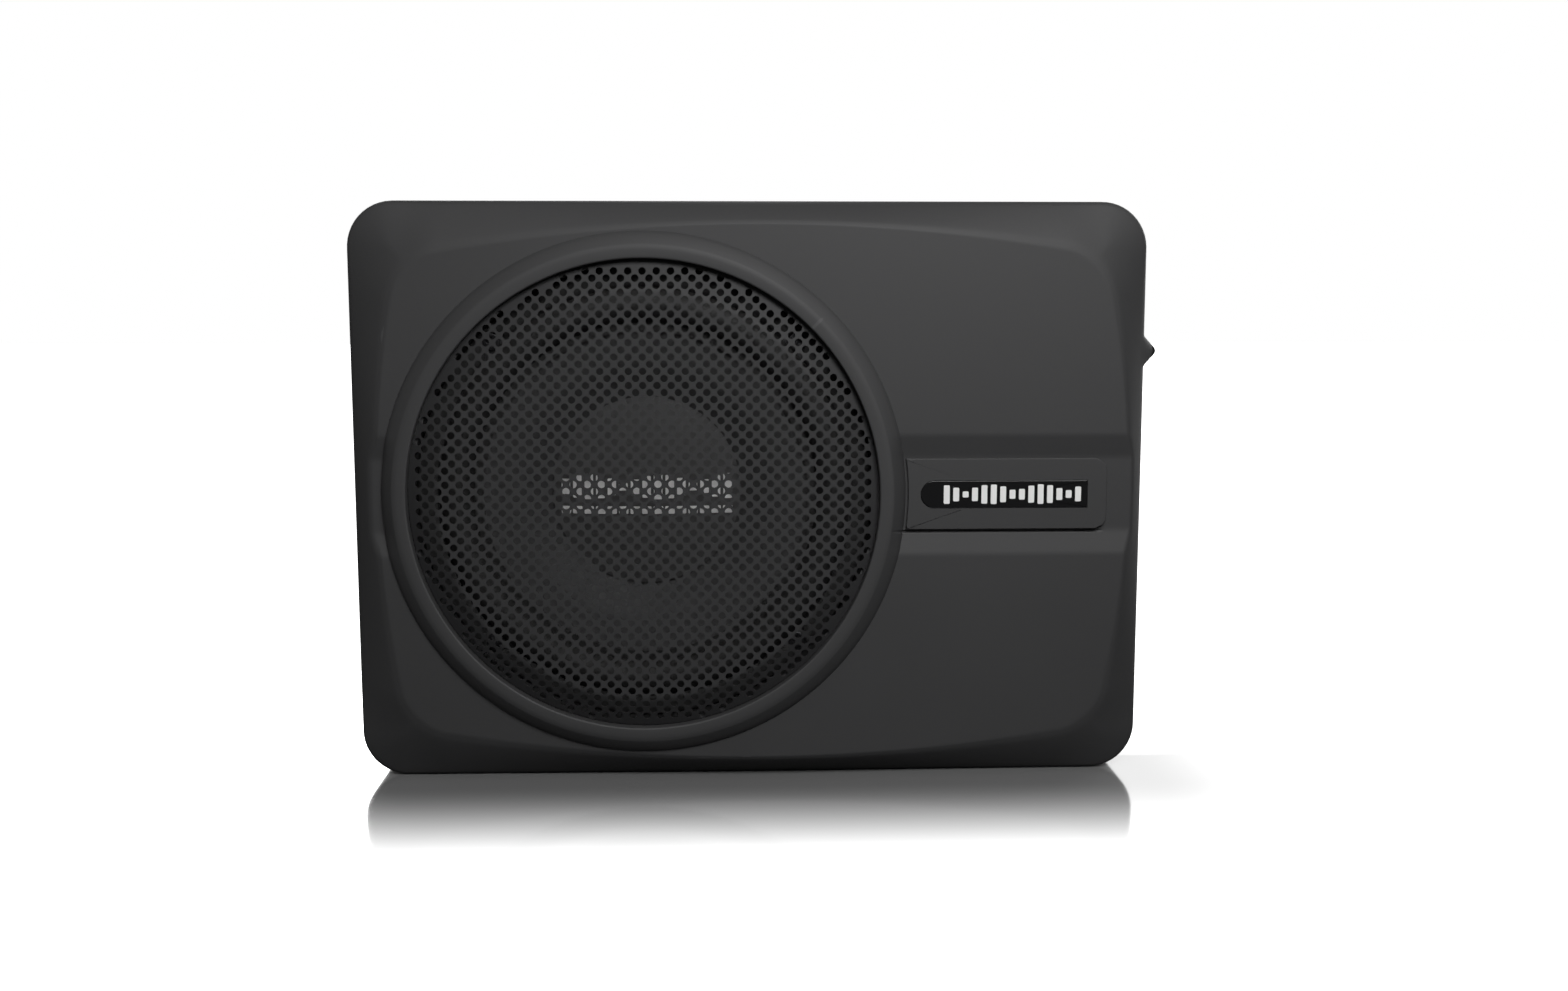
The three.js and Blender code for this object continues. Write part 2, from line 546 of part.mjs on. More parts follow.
function connectorPanel() {
  const inner = PANEL.outer - PANEL.thick;
  const { outer, low: bottom, high: top, back, front } = PANEL;
  const plate = box(inner, outer, bottom + GAP, top - GAP, back + GAP, front - GAP);
  const square = (y, half, low, high) =>
    box(150, 180, y - half - GAP, y + half + GAP, low - GAP, high + GAP);
  const openings = [
    barX(1.9, 150, 180, ROW.led, CONTROL_Z, 12),
    ...[ROW.gain, ROW.lowpass, ROW.boost].map((y) => barX(5.2, 150, 180, y, CONTROL_Z, 16)),
    ...[19.5, 34.5].map((z) => barX(4.7, 150, 180, ROW.rca, z, 16)),
    square(ROW.phase, 3.4, CONTROL_Z - 1.6, CONTROL_Z + 1.6),
    square(ROW.fuse, 4.6, 14.2, 37.8),
    ...Object.values(SOCKETS).map(({ y, width, low, high }) => square(y, width / 2, low, high)),
  ];
  place("connector_panel", cut(plate, ...openings), "plasticBlack");

  for (const [name, s] of Object.entries(SOCKETS)) {
    const half = s.width / 2;
    const block = box(148, SOCKET_FACE, s.y - half, s.y + half, s.low, s.high);
    const cavity = box(SOCKET_FACE - s.deep, 180, s.y - half + s.wallY, s.y + half - s.wallY,
      s.low + s.wallZ, s.high - s.wallZ);
    place(name, cut(block, cavity), "plasticBlack");
  }

  const barrels = [19.5, 34.5].flatMap((z) => [barX(4.2, 160, 175.5, ROW.rca, z, 16)]);
  const holes = [19.5, 34.5].map((z) => barX(1.7, 167, 180, ROW.rca, z, 8));
  const block = box(148, inner - GAP, ROW.rca - 6.5, ROW.rca + 6.5, BOARD_TOP, 39.5);
  place("rca_input", cut(join(block, ...barrels), ...holes), "plasticBlack");

  for (const name of ["gain", "lowpass", "boost"]) {
    const y = ROW[name];
    place(`${name}_control`, box(150, 162.8, y - 5.5, y + 5.5, BOARD_TOP, 32), "plasticBlack");
    const grip = barX(4.6, inner - 1.6, 171.5, y, CONTROL_Z, 16);
    const knob = join(grip, barX(3, 163.1, inner, y, CONTROL_Z, 12));
    const notch = box(171, 180, y - 0.5, y + 0.5, CONTROL_Z, CONTROL_Z + 6);
    place(`${name}_knob`, cut(knob, notch), "plasticBlack");
  }

  const phaseBody = box(154, 162.8, ROW.phase - 4.5, ROW.phase + 4.5, BOARD_TOP, 31);
  place("phase_switch", phaseBody, "steel");
  const nub = box(163.1, 169.5, ROW.phase - 3.1, ROW.phase - 0.1, CONTROL_Z - 1.4, CONTROL_Z + 1.4);
  place("phase_slider", nub, "plasticBlack");

  const holder = box(148, SOCKET_FACE, ROW.fuse - 4.6, ROW.fuse + 4.6, 14.2, 37.8);
  const half = FUSE.width / 2;
  const slot = box(153, 180, ROW.fuse - half - GAP, ROW.fuse + half + GAP, FUSE.low - GAP, FUSE.high + GAP);
  place("fuse_holder", cut(holder, slot), "plasticBlack");
  const blades = [17, 29.4].map((z) => box(153.4, 160.5, ROW.fuse - 0.4, ROW.fuse + 0.4, z, z + 5.6));
  const grip = box(160, 171.8, ROW.fuse - half, ROW.fuse + half, FUSE.low, FUSE.high);
  place("blade_fuse", join(grip, ...blades), "fuseBlue");
  place("power_led", barX(1.5, 158, 168, ROW.led, CONTROL_Z, 12), "ledRed");
}

enclosure();
frontTrim();
driver();
amplifier();
connectorPanel();

// Stands the cabinet up: its own z, from back to front, becomes -Y, and its own y becomes Z.
cabinet.rotation.x = Math.PI / 2;
cabinet.position.set(0, DEPTH / 2, HEIGHT / 2);
const subwoofer = new THREE.Group();
subwoofer.add(cabinet);

export default subwoofer;
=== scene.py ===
"""A powered under-seat car subwoofer, standing on its long edge on a pale studio floor.

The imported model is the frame. Each sub-assembly below is a class that works out its fine surfaces from
the frame's boxes and a few sizes of its own, and dresses them. Shapes are worked out in the cabinet's
own millimetres: x to the right, v up from the middle of the height, and h from the plane of the rear
feet towards the listener. The function stand() turns them into the frame's metres.
"""

import logging
from collections.abc import Callable, Sequence
from dataclasses import dataclass
from enum import Enum

import bpy
import numpy as np
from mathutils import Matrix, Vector


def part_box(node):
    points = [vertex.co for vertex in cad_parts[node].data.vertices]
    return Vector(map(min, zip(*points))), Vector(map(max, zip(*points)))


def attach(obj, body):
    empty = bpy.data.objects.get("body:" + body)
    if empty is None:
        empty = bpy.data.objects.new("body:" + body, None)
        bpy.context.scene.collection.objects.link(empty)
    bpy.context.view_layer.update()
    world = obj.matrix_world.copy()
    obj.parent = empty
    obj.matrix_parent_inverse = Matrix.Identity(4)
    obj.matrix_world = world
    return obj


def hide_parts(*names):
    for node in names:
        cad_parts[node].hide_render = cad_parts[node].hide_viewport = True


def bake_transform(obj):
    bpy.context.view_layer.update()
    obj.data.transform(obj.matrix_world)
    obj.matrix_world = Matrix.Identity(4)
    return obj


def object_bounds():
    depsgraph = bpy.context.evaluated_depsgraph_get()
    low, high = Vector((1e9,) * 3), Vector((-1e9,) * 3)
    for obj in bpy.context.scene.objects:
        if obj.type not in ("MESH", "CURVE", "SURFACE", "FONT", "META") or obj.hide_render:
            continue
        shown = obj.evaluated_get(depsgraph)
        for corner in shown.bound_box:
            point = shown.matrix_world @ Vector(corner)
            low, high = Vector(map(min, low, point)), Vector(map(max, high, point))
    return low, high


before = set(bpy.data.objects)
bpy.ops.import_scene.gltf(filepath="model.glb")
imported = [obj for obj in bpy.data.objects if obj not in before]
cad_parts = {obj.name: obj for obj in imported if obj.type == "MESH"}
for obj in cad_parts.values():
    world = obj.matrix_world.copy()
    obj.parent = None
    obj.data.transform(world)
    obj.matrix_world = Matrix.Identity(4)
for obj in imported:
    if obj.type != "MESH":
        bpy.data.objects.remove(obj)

Array = np.ndarray
Colour = tuple[float, float, float]
log = logging.getLogger("subwoofer")

MM = 0.001
CAD_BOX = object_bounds()
LOW, HIGH = (np.array(corner) / MM for corner in CAD_BOX)
WIDTH = -2 * LOW[0]
DEPTH = HIGH[1] - LOW[1]
HEIGHT = HIGH[2] - LOW[2]


def stand(points: Array) -> Array:
    """Turns cabinet points into the frame's metres: X is x, Y is half the depth less h, Z is v up.

    Args:
        points: Cabinet points (x, v, h) in millimetres, in the last axis.

    Returns:
        The same points in the row's frame.
    """
    x, v, h = np.moveaxis(np.asarray(points, float), -1, 0)
    return np.stack([x, DEPTH / 2 - h, v + HEIGHT / 2], -1) * MM


def cabinet_box(node: str) -> tuple[Array, Array]:
    """The box of a CAD node in cabinet millimetres.

    Args:
        node: The node's name.

    Returns:
        Its lowest and highest (x, v, h).
    """
    low, high = (np.array(corner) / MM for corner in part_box(node))
    return (
        np.array([low[0], low[2] - HEIGHT / 2, DEPTH / 2 - high[1]]),
        np.array([high[0], high[2] - HEIGHT / 2, DEPTH / 2 - low[1]]),
    )


GRILLE_LOW, GRILLE_HIGH = cabinet_box("grille")
DRIVER_X = (GRILLE_LOW[0] + GRILLE_HIGH[0]) / 2


class Body(Enum):
    """The rigid bodies that pieces ride on."""

    HOUSING = "housing"
    CONE = "cone_assembly"
    GAIN = "gain_control_knob"
    LOWPASS = "lowpass_control_knob"
    BOOST = "boost_control_knob"
    PHASE = "phase_switch_slider"
    FUSE = "pulled_fuse"


# Curves and blends.


def smooth_step(t: Array) -> Array:
    """Eases from 0 to 1 as t does: three times t squared less twice t cubed."""
    t = np.clip(t, 0, 1)
    return t * t * (3 - 2 * t)


def soft_min(a: Array, b: Array, width: float) -> Array:
    """The lower of two values, with a fillet: near a tie it dips by a parabola of the given width.

    Args:
        a: The first values.
        b: The second values.
        width: How far apart the values still blend.

    Returns:
        The blended minimum.
    """
    near = np.maximum(width - np.abs(a - b), 0) / width
    return np.minimum(a, b) - near * near * width / 4


def soft_max(a: Array, b: Array, width: float) -> Array:
    """The higher of two values, with the same fillet as soft_min."""
    return -soft_min(-a, -b, width)


def filleted(corners: Sequence[tuple[float, float, float]], steps: int = 5, closed: bool = False) -> Array:
    """Rounds the corners of a polyline, each with a quadratic curve pulled towards the corner.

    Args:
        corners: Points (a, b, radius); a radius of 0 keeps the corner sharp.
        steps: Points on each rounded corner.
        closed: Whether the last point joins the first.

    Returns:
        The rounded line as an array of (a, b).
    """
    table = np.array(corners, float)
    point, radius = table[:, :2], table[:, 2:].copy()
    if not closed:
        radius[[0, -1]] = 0
    back, ahead = np.roll(point, 1, 0) - point, np.roll(point, -1, 0) - point
    back_length = np.maximum(np.linalg.norm(back, axis=1, keepdims=True), 1e-9)
    ahead_length = np.maximum(np.linalg.norm(ahead, axis=1, keepdims=True), 1e-9)
    start = point + back / back_length * np.minimum(radius, 0.49 * back_length)
    end = point + ahead / ahead_length * np.minimum(radius, 0.49 * ahead_length)
    t = np.linspace(0, 1, steps)[None, :, None]
    curve = (1 - t) ** 2 * start[:, None] + 2 * t * (1 - t) * point[:, None] + t * t * end[:, None]
    line = curve.reshape(-1, 2)
    moved = np.linalg.norm(line - np.roll(line, 1, 0), axis=1) > 1e-6
    moved[0] |= not closed
    return line[moved]


def rounded_depth(across: Array, up: Array, radius: float) -> Array:
    """How deep a point lies inside a corner of two walls that meet in a round of the given radius.

    Away from the corner it is the smaller of the two distances. Near it, it is the radius less the
    distance to the round's centre.

    Args:
        across: Distance in from the first wall.
        up: Distance in from the second wall.
        radius: Radius of the round.

    Returns:
        The depth, negative outside.
    """
    short_x, short_v = np.maximum(radius - across, 0), np.maximum(radius - up, 0)
    in_corner = (short_x > 0) & (short_v > 0)
    return np.where(in_corner, radius - np.hypot(short_x, short_v), np.minimum(across, up))


def march(start: Array, heading: Array, depth: Callable[[Array, Array], Array], reach: float) -> Array:
    """Walks from each start along its heading to where a depth falls to zero, by halving the interval.

    Args:
        start: Points (x, v) inside the region.
        heading: Unit directions.
        depth: The depth of (x, v) inside the region.
        reach: A distance that is always outside.

    Returns:
        The points on the region's edge.
    """
    near, far = np.zeros(len(start)), np.full(len(start), reach)
    for _ in range(40):
        middle = (near + far) / 2
        at = start + heading * middle[:, None]
        inside = depth(at[:, 0], at[:, 1]) > 0
        near, far = np.where(inside, middle, near), np.where(inside, far, middle)
    return start + heading * near[:, None]


# Meshes.


@dataclass
class Shape:
    """A surface in the making: cabinet points and the faces between them."""

    points: Array
    faces: list[Array]

    def __add__(self, other: "Shape") -> "Shape":
        """Both shapes in one mesh."""
        shift = len(self.points)
        faces = self.faces + [face + shift for face in other.faces]
        return Shape(np.concatenate([self.points, other.points]), faces)

    def moved(self, x: float = 0, v: float = 0, h: float = 0) -> "Shape":
        """The shape shifted by the given millimetres."""
        return Shape(self.points + np.array([x, v, h]), self.faces)

    def facing_right(self) -> "Shape":
        """The shape turned so that its own (a, b, c) lie along v, h and x: c points out of the end wall."""
        return Shape(self.points[:, [2, 0, 1]], self.faces)

    def at_end(self, middle: Array) -> "Shape":
        """The shape facing out of the end wall, centred on a middle."""
        return self.facing_right().moved(0, middle[1], middle[2])

    def bent(self, change: Callable[[Array], Array]) -> "Shape":
        """The shape with its points passed through a function."""
        return Shape(change(self.points), self.faces)


def grid_faces(rows: int, columns: int, wrap_rows: bool = False, wrap_columns: bool = True) -> Array:
    """The quads of a grid of points numbered row by row.

    Args:
        rows: Number of rows.
        columns: Number of points in a row.
        wrap_rows: Whether the last row joins the first.
        wrap_columns: Whether each row closes on itself.

    Returns:
        An array of quads, facing out when rows run anticlockwise and climb.
    """
    row = np.arange(rows if wrap_rows else rows - 1)[:, None]
    column = np.arange(columns if wrap_columns else columns - 1)[None, :]
    above, beside = (row + 1) % rows, (column + 1) % columns
    quads = [row * columns + column, row * columns + beside, above * columns + beside,
             above * columns + column]
    return np.stack(quads, -1).reshape(-1, 4)


def joined(shapes: Sequence[Shape]) -> Shape:
    """Several shapes as one."""
    return sum(shapes[1:], shapes[0])


def level(line: Array, height: object) -> Array:
    """An outline as a loop at a height."""
    return np.column_stack([line, np.full(len(line), height)])


def skinned(loops: Array, closed: bool = False) -> Shape:
    """Skins a stack of loops, and ends it with a fan to the middle of its first and last loop.

    Args:
        loops: Cabinet points (k, n, 3): k loops of n points, anticlockwise seen from the way they climb.
        closed: Whether the last loop joins the first instead, as on a ring.

    Returns:
        The closed shape.
    """
    count, sides = loops.shape[:2]
    faces = [grid_faces(count, sides, wrap_rows=closed)]
    points = loops.reshape(-1, 3)
    if not closed:
        here = np.arange(sides)
        there = (here + 1) % sides
        bottom, top = len(points), len(points) + 1
        last = (count - 1) * sides
        faces.append(np.stack([there, here, np.full(sides, bottom)], -1))
        faces.append(np.stack([last + here, last + there, np.full(sides, top)], -1))
        points = np.concatenate([points, loops[[0, -1]].mean(1)])
    return Shape(points, faces)


def turned(profile: Array, sides: int = 96, x: float = 0, v: float = 0, closed: bool = False) -> Shape:
    """Turns a profile about an axis along h: x and v are radius times the cosine and sine of the turn.

    Args:
        profile: Points (radius, h), climbing on the outside.
        sides: Points round the turn.
        x: Where the axis stands.
        v: Where the axis stands.
        closed: Whether the profile joins its own start.

    Returns:
        The turned shape.
    """
    angle = np.linspace(0, 2 * np.pi, sides, endpoint=False)
    radius, h = profile[:, :1], profile[:, 1:]
    loops = np.stack([x + radius * np.cos(angle), v + radius * np.sin(angle), h + 0 * angle], -1)
    return skinned(loops, closed)


def rounded_rectangle(half_a: float, half_b: float, radius: float, steps: int = 8) -> Array:
    """The outline of a rectangle with round corners, anticlockwise from its right-hand side.

    Args:
        half_a: Half its width.
        half_b: Half its height.
        radius: Radius of its corners.
        steps: Points on each corner.

    Returns:
        Points (a, b).
    """
    angle = np.linspace(0, np.pi / 2, steps)
    turns = np.arange(4)[:, None] * np.pi / 2 + angle[None, :]
    sign_a, sign_b = np.array([1, -1, -1, 1])[:, None], np.array([1, 1, -1, -1])[:, None]
    a = sign_a * (half_a - radius) + radius * np.cos(turns)
    b = sign_b * (half_b - radius) + radius * np.sin(turns)
    return np.stack([a, b], -1).reshape(-1, 2)


def inset(outline: Array, distance: float) -> Array:
    """Moves each point of a closed outline inwards, across the line through its two neighbours.

    Args:
        outline: Points (a, b), anticlockwise.
        distance: How far in; negative is out.

    Returns:
        The new outline.
    """
    run = np.roll(outline, -1, 0) - np.roll(outline, 1, 0)
    run /= np.linalg.norm(run, axis=1, keepdims=True)
    return outline + distance * np.stack([-run[:, 1], run[:, 0]], -1)


def resampled(outline: Array, count: int) -> Array:
    """Spreads points evenly round a closed outline, by the length run so far.

    Args:
        outline: Points (a, b).
        count: How many points to return.

    Returns:
        Points (a, b), starting at the first one given.
    """
    ring = np.concatenate([outline, outline[:1]])
    run = np.concatenate([[0], np.cumsum(np.linalg.norm(np.diff(ring, axis=0), axis=1))])
    at = np.linspace(0, run[-1], count, endpoint=False)
    return np.column_stack([np.interp(at, run, ring[:, 0]), np.interp(at, run, ring[:, 1])])


def spoked(outline: Array, centre: Array, half: Array, count: int) -> Array:
    """An outline's points on even spokes round a centre, so that two outlines pair up untwisted.

    The spokes are even in the angle of (a / half a, b / half b).

    Args:
        outline: Points (a, b) of a shape that every spoke leaves once.
        centre: Where the spokes start.
        half: The shape's rough half sizes.
        count: How many spokes there are.

    Returns:
        Points (a, b), anticlockwise.
    """
    fine = resampled(outline, 6000) - centre
    angle = np.arctan2(fine[:, 1] / half[1], fine[:, 0] / half[0])
    at = np.linspace(-np.pi, np.pi, count, endpoint=False)
    return centre + np.column_stack([np.interp(at, angle, fine[:, i], period=2 * np.pi) for i in (0, 1)])


def tube(route: Array, radius: float, steps: int, sides: int = 14) -> Shape:
    """Sweeps a circle along a smooth line through a few points.

    The line is a cubic between neighbours whose slope at each point is half the step between its
    neighbours. The circle stands on the line's direction and on one fixed cross direction.

    Args:
        route: Cabinet points along the line.
        radius: The tube's radius.
        steps: Stations along it.
        sides: Points round it.

    Returns:
        The closed tube.
    """
    slope = np.gradient(route, axis=0)
    at = np.linspace(0, len(route) - 1 - 1e-9, steps)
    i, t = at.astype(int), (at % 1)[:, None]
    basis = [2 * t**3 - 3 * t**2 + 1, t**3 - 2 * t**2 + t, -2 * t**3 + 3 * t**2, t**3 - t**2]
    line = basis[0] * route[i] + basis[1] * slope[i] + basis[2] * route[i + 1] + basis[3] * slope[i + 1]
    along = np.gradient(line, axis=0)
    along /= np.linalg.norm(along, axis=1, keepdims=True)
    side = np.cross(along, np.array([0.0, 1.0, 0.02]))
    side /= np.linalg.norm(side, axis=1, keepdims=True)
    up = np.cross(along, side)
    turn = np.linspace(0, 2 * np.pi, sides, endpoint=False)[None, :, None]
    return skinned(line[:, None] + radius * (np.cos(turn) * side[:, None] + np.sin(turn) * up[:, None]))


def plated(outline: Array, section: Array) -> Shape:
    """Sweeps a section round an outline: each loop is the outline set in by a distance, at a height.

    Args:
        outline: Points (a, b), anticlockwise.
        section: Points (inset, height), climbing on the outside.

    Returns:
        The closed plate.
    """
    loops = [level(inset(outline, d), h) for d, h in section]
    return skinned(np.array(loops))


def edged(low: float, high: float, edge: float, base_edge: float = 0.2) -> Array:
    """The section of a plate between two heights, with rounded edges and a narrow flat rim."""
    corners = [(2 * base_edge, low, 0), (0, low, base_edge), (0, high, edge), (1.4 * edge, high, 0)]
    return filleted(corners)


@dataclass(frozen=True)
class Piece:
    """Where a finished mesh belongs: its name, the body it rides on and the CAD nodes it stands for.

    A piece with no body rides on none.
    """

    name: str
    body: Body | None
    replaces: tuple[str, ...] = ()


def make(piece: Piece, shape: Shape, finish: "Finish", crease: float = 38) -> bpy.types.Object:
    """Puts a shape into a mesh object and gives it its body, its nodes and its finish.

    Args:
        piece: Its name, body and nodes.
        shape: Its surface, in cabinet millimetres.
        finish: Its finish.
        crease: Edges sharper than this many degrees stay crisp.

    Returns:
        The object.
    """
    mesh = bpy.data.meshes.new(piece.name)
    mesh.vertices.add(len(shape.points))
    mesh.vertices.foreach_set("co", stand(shape.points).ravel())
    sizes = np.concatenate([np.full(len(face), face.shape[1]) for face in shape.faces])
    corners = np.concatenate([face.ravel() for face in shape.faces])
    mesh.loops.add(len(corners))
    mesh.loops.foreach_set("vertex_index", corners)
    mesh.polygons.add(len(sizes))
    mesh.polygons.foreach_set("loop_start", np.concatenate([[0], np.cumsum(sizes)[:-1]]))
    mesh.update(calc_edges=True)
    mesh.validate()
    mesh.shade_smooth()
    mesh.set_sharp_from_angle(angle=np.radians(crease))
    mesh.materials.append(finish.material())
    made = bpy.data.objects.new(piece.name, mesh)
    bpy.context.scene.collection.objects.link(made)
    if piece.body:
        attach(made, piece.body.value)
    if piece.replaces:
        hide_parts(*piece.replaces)
    log.info("%s: %d faces, on %s", piece.name, len(sizes),
             piece.body.value if piece.body else "two bodies")
    return made


# Finishes.


@dataclass
class Graph:
    """A node tree under construction."""

    tree: bpy.types.NodeTree

    def node(self, kind: str, **settings: object) -> bpy.types.Node:
        """Adds a node and sets the named properties on it."""
        node = self.tree.nodes.new(kind)
        for name, value in settings.items():
            setattr(node, name, value)
        return node

    def put(self, value: object, socket: bpy.types.NodeSocket) -> None:
        """Links an output to a socket, or sets the socket to a plain value."""
        if isinstance(value, bpy.types.NodeSocket):
            self.tree.links.new(value, socket)
        else:
            socket.default_value = value

    def math(self, operation: str, a: object, b: object = 0.0, clamp: bool = False) -> bpy.types.NodeSocket:
        """The result of one arithmetic step on two values."""
        node = self.node("ShaderNodeMath", operation=operation, use_clamp=clamp)
        self.put(a, node.inputs[0])
        self.put(b, node.inputs[1])
        return node.outputs[0]

    def mixed(self, factor: object, first: object, second: object) -> bpy.types.NodeSocket:
        """A colour between two colours."""
        node = self.node("ShaderNodeMix", data_type="RGBA")
        self.put(factor, node.inputs[0])
        self.put(first, node.inputs[6])
        self.put(second, node.inputs[7])
        return node.outputs[2]

    def noise(self, vector: object, scale: object, detail: float,
              roughness: float = 0.5) -> bpy.types.NodeSocket:
        """A noise value, about 0.5 on average."""
        node = self.node("ShaderNodeTexNoise")
        self.put(vector, node.inputs["Vector"])
        self.put(scale, node.inputs["Scale"])
        node.inputs["Detail"].default_value = detail
        node.inputs["Roughness"].default_value = roughness
        return node.outputs[0]

    def stretched(self, vector: object, scale: tuple[float, float, float]) -> bpy.types.NodeSocket:
        """Coordinates scaled by a different factor along each axis."""
        node = self.node("ShaderNodeMapping")
        self.put(vector, node.inputs["Vector"])
        node.inputs["Scale"].default_value = scale
        return node.outputs[0]


def effect(name: str, inputs: Sequence[tuple[str, str, float]], outputs: Sequence[str],
           wire: Callable[[Graph, dict[str, bpy.types.NodeSocket]],
                          Sequence[object]]) -> bpy.types.NodeTree:
    """Builds a shader node group once, and hands it back on every later call.

    Args:
        name: The group's name.
        inputs: Each input's name, its socket type and its default.
        outputs: The names of its float outputs.
        wire: Makes the nodes from the graph and the input sockets, and returns the output values.

    Returns:
        The node group.
    """
    found = bpy.data.node_groups.get(name)
    if found:
        return found
    group = bpy.data.node_groups.new(name, "ShaderNodeTree")
    for label, kind, default in inputs:
        socket = group.interface.new_socket(name=label, in_out="INPUT", socket_type=kind)
        if kind == "NodeSocketFloat":
            socket.default_value = default
    for label in outputs:
        group.interface.new_socket(name=label, in_out="OUTPUT", socket_type="NodeSocketFloat")
    graph = Graph(group)
    start, end = graph.node("NodeGroupInput"), graph.node("NodeGroupOutput")
    for label, value in zip(outputs, wire(graph, {label: start.outputs[label] for label, _, _ in inputs})):
        graph.put(value, end.inputs[label])
    return group


def cast_texture() -> bpy.types.NodeTree:
    """The skin of textured paint: fine beads over a slow orange peel, with its mottling."""

    def wire(graph: Graph, given: dict[str, bpy.types.NodeSocket]) -> Sequence[object]:
        beads = graph.noise(given["Position"], given["Scale"], 3.0, 0.6)
        peel = graph.noise(given["Position"], graph.math("MULTIPLY", given["Scale"], 0.12), 2.0)
        cloud = graph.noise(given["Position"], graph.math("MULTIPLY", given["Scale"], 0.012), 3.0)
        height = graph.math("ADD", beads, graph.math("MULTIPLY", peel, 1.5))
        return height, graph.math("ADD", graph.math("MULTIPLY", beads, 0.4),
                                  graph.math("MULTIPLY", cloud, 0.6))

    inputs = [("Position", "NodeSocketVector", 0), ("Scale", "NodeSocketFloat", 1200.0)]
    return effect("cast texture", inputs, ["Height", "Mottle"], wire)


def drawn_texture() -> bpy.types.NodeTree:
    """Long fine streaks along x, as on brushed or drawn metal and on pressed fibres."""

    def wire(graph: Graph, given: dict[str, bpy.types.NodeSocket]) -> Sequence[object]:
        line = graph.stretched(given["Position"], (0.06, 1.0, 1.0))
        streak = graph.noise(line, given["Scale"], 4.0, 0.7)
        fleck = graph.noise(given["Position"], graph.math("MULTIPLY", given["Scale"], 0.3), 2.0)
        return streak, graph.math("ADD", graph.math("MULTIPLY", streak, 0.6),
                                  graph.math("MULTIPLY", fleck, 0.4))

    inputs = [("Position", "NodeSocketVector", 0), ("Scale", "NodeSocketFloat", 2500.0)]
    return effect("drawn texture", inputs, ["Height", "Mottle"], wire)


def woven_texture() -> bpy.types.NodeTree:
    """A plain weave: the product of two sine ripples, one along x and one along z."""

    def wire(graph: Graph, given: dict[str, bpy.types.NodeSocket]) -> Sequence[object]:
        parts = graph.node("ShaderNodeSeparateXYZ")
        graph.put(given["Position"], parts.inputs[0])
        ripple = [graph.math("SINE", graph.math("MULTIPLY", parts.outputs[axis],
                                                given["Scale"])) for axis in (0, 2)]
        cross = graph.math("MULTIPLY", ripple[0], ripple[1])
        height = graph.math("ADD", graph.math("MULTIPLY", cross, 0.5), 0.5)
        fuzz = graph.noise(given["Position"], given["Scale"], 3.0, 0.6)
        return height, graph.math("ADD", graph.math("MULTIPLY", height, 0.6),
                                  graph.math("MULTIPLY", fuzz, 0.4))

    inputs = [("Position", "NodeSocketVector", 0), ("Scale", "NodeSocketFloat", 4000.0)]
    return effect("woven texture", inputs, ["Height", "Mottle"], wire)


def wound_texture() -> bpy.types.NodeTree:
    """Turns of wire side by side: a sine ripple along y, with a little wander."""

    def wire(graph: Graph, given: dict[str, bpy.types.NodeSocket]) -> Sequence[object]:
        parts = graph.node("ShaderNodeSeparateXYZ")
        graph.put(given["Position"], parts.inputs[0])
        wander = graph.math("MULTIPLY", graph.noise(given["Position"], 60.0, 2.0), 0.0006)
        along = graph.math("MULTIPLY", graph.math("ADD", parts.outputs[1], wander), given["Scale"])
        height = graph.math("ABSOLUTE", graph.math("SINE", along))
        return height, height

    inputs = [("Position", "NodeSocketVector", 0), ("Scale", "NodeSocketFloat", 6000.0)]
    return effect("wound texture", inputs, ["Height", "Mottle"], wire)


class Texture(Enum):
    """The relief that a finish carries."""

    CAST = "cast"
    DRAWN = "drawn"
    WOVEN = "woven"
    WOUND = "wound"

    def group(self) -> bpy.types.NodeTree:
        """The node group that makes this relief."""
        return {"cast": cast_texture, "drawn": drawn_texture, "woven": woven_texture,
                "wound": wound_texture}[self.value]()


def edge_wear() -> bpy.types.NodeTree:
    """A mask for rubbed edges: how far a point stands out of its surroundings, broken up by noise."""

    def wire(graph: Graph, given: dict[str, bpy.types.NodeSocket]) -> Sequence[object]:
        sharpness = graph.node("ShaderNodeNewGeometry").outputs["Pointiness"]
        ridge = graph.math("MULTIPLY", graph.math("SUBTRACT", sharpness, 0.515), 14.0, clamp=True)
        patches = graph.math("MULTIPLY", graph.noise(given["Position"], 260.0, 4.0, 0.65), 1.7, clamp=True)
        return [graph.math("MULTIPLY", graph.math("MULTIPLY", ridge, patches), given["Amount"], clamp=True)]

    inputs = [("Position", "NodeSocketVector", 0), ("Amount", "NodeSocketFloat", 0.5)]
    return effect("edge wear", inputs, ["Mask"], wire)


def settled_dust() -> bpy.types.NodeTree:
    """A mask for dust: thickest where the surface faces up, and broken up by noise."""

    def wire(graph: Graph, given: dict[str, bpy.types.NodeSocket]) -> Sequence[object]:
        normal = graph.node("ShaderNodeSeparateXYZ")
        graph.put(graph.node("ShaderNodeNewGeometry").outputs["Normal"], normal.inputs[0])
        upward = graph.math("MULTIPLY", graph.math("ADD", normal.outputs[2], 0.25), 0.8, clamp=True)
        specks = graph.noise(given["Position"], 900.0, 5.0, 0.75)
        veil = graph.math("MULTIPLY", upward, specks)
        return [graph.math("MULTIPLY", veil, given["Amount"], clamp=True)]

    inputs = [("Position", "NodeSocketVector", 0), ("Amount", "NodeSocketFloat", 0.1)]
    return effect("settled dust", inputs, ["Mask"], wire)


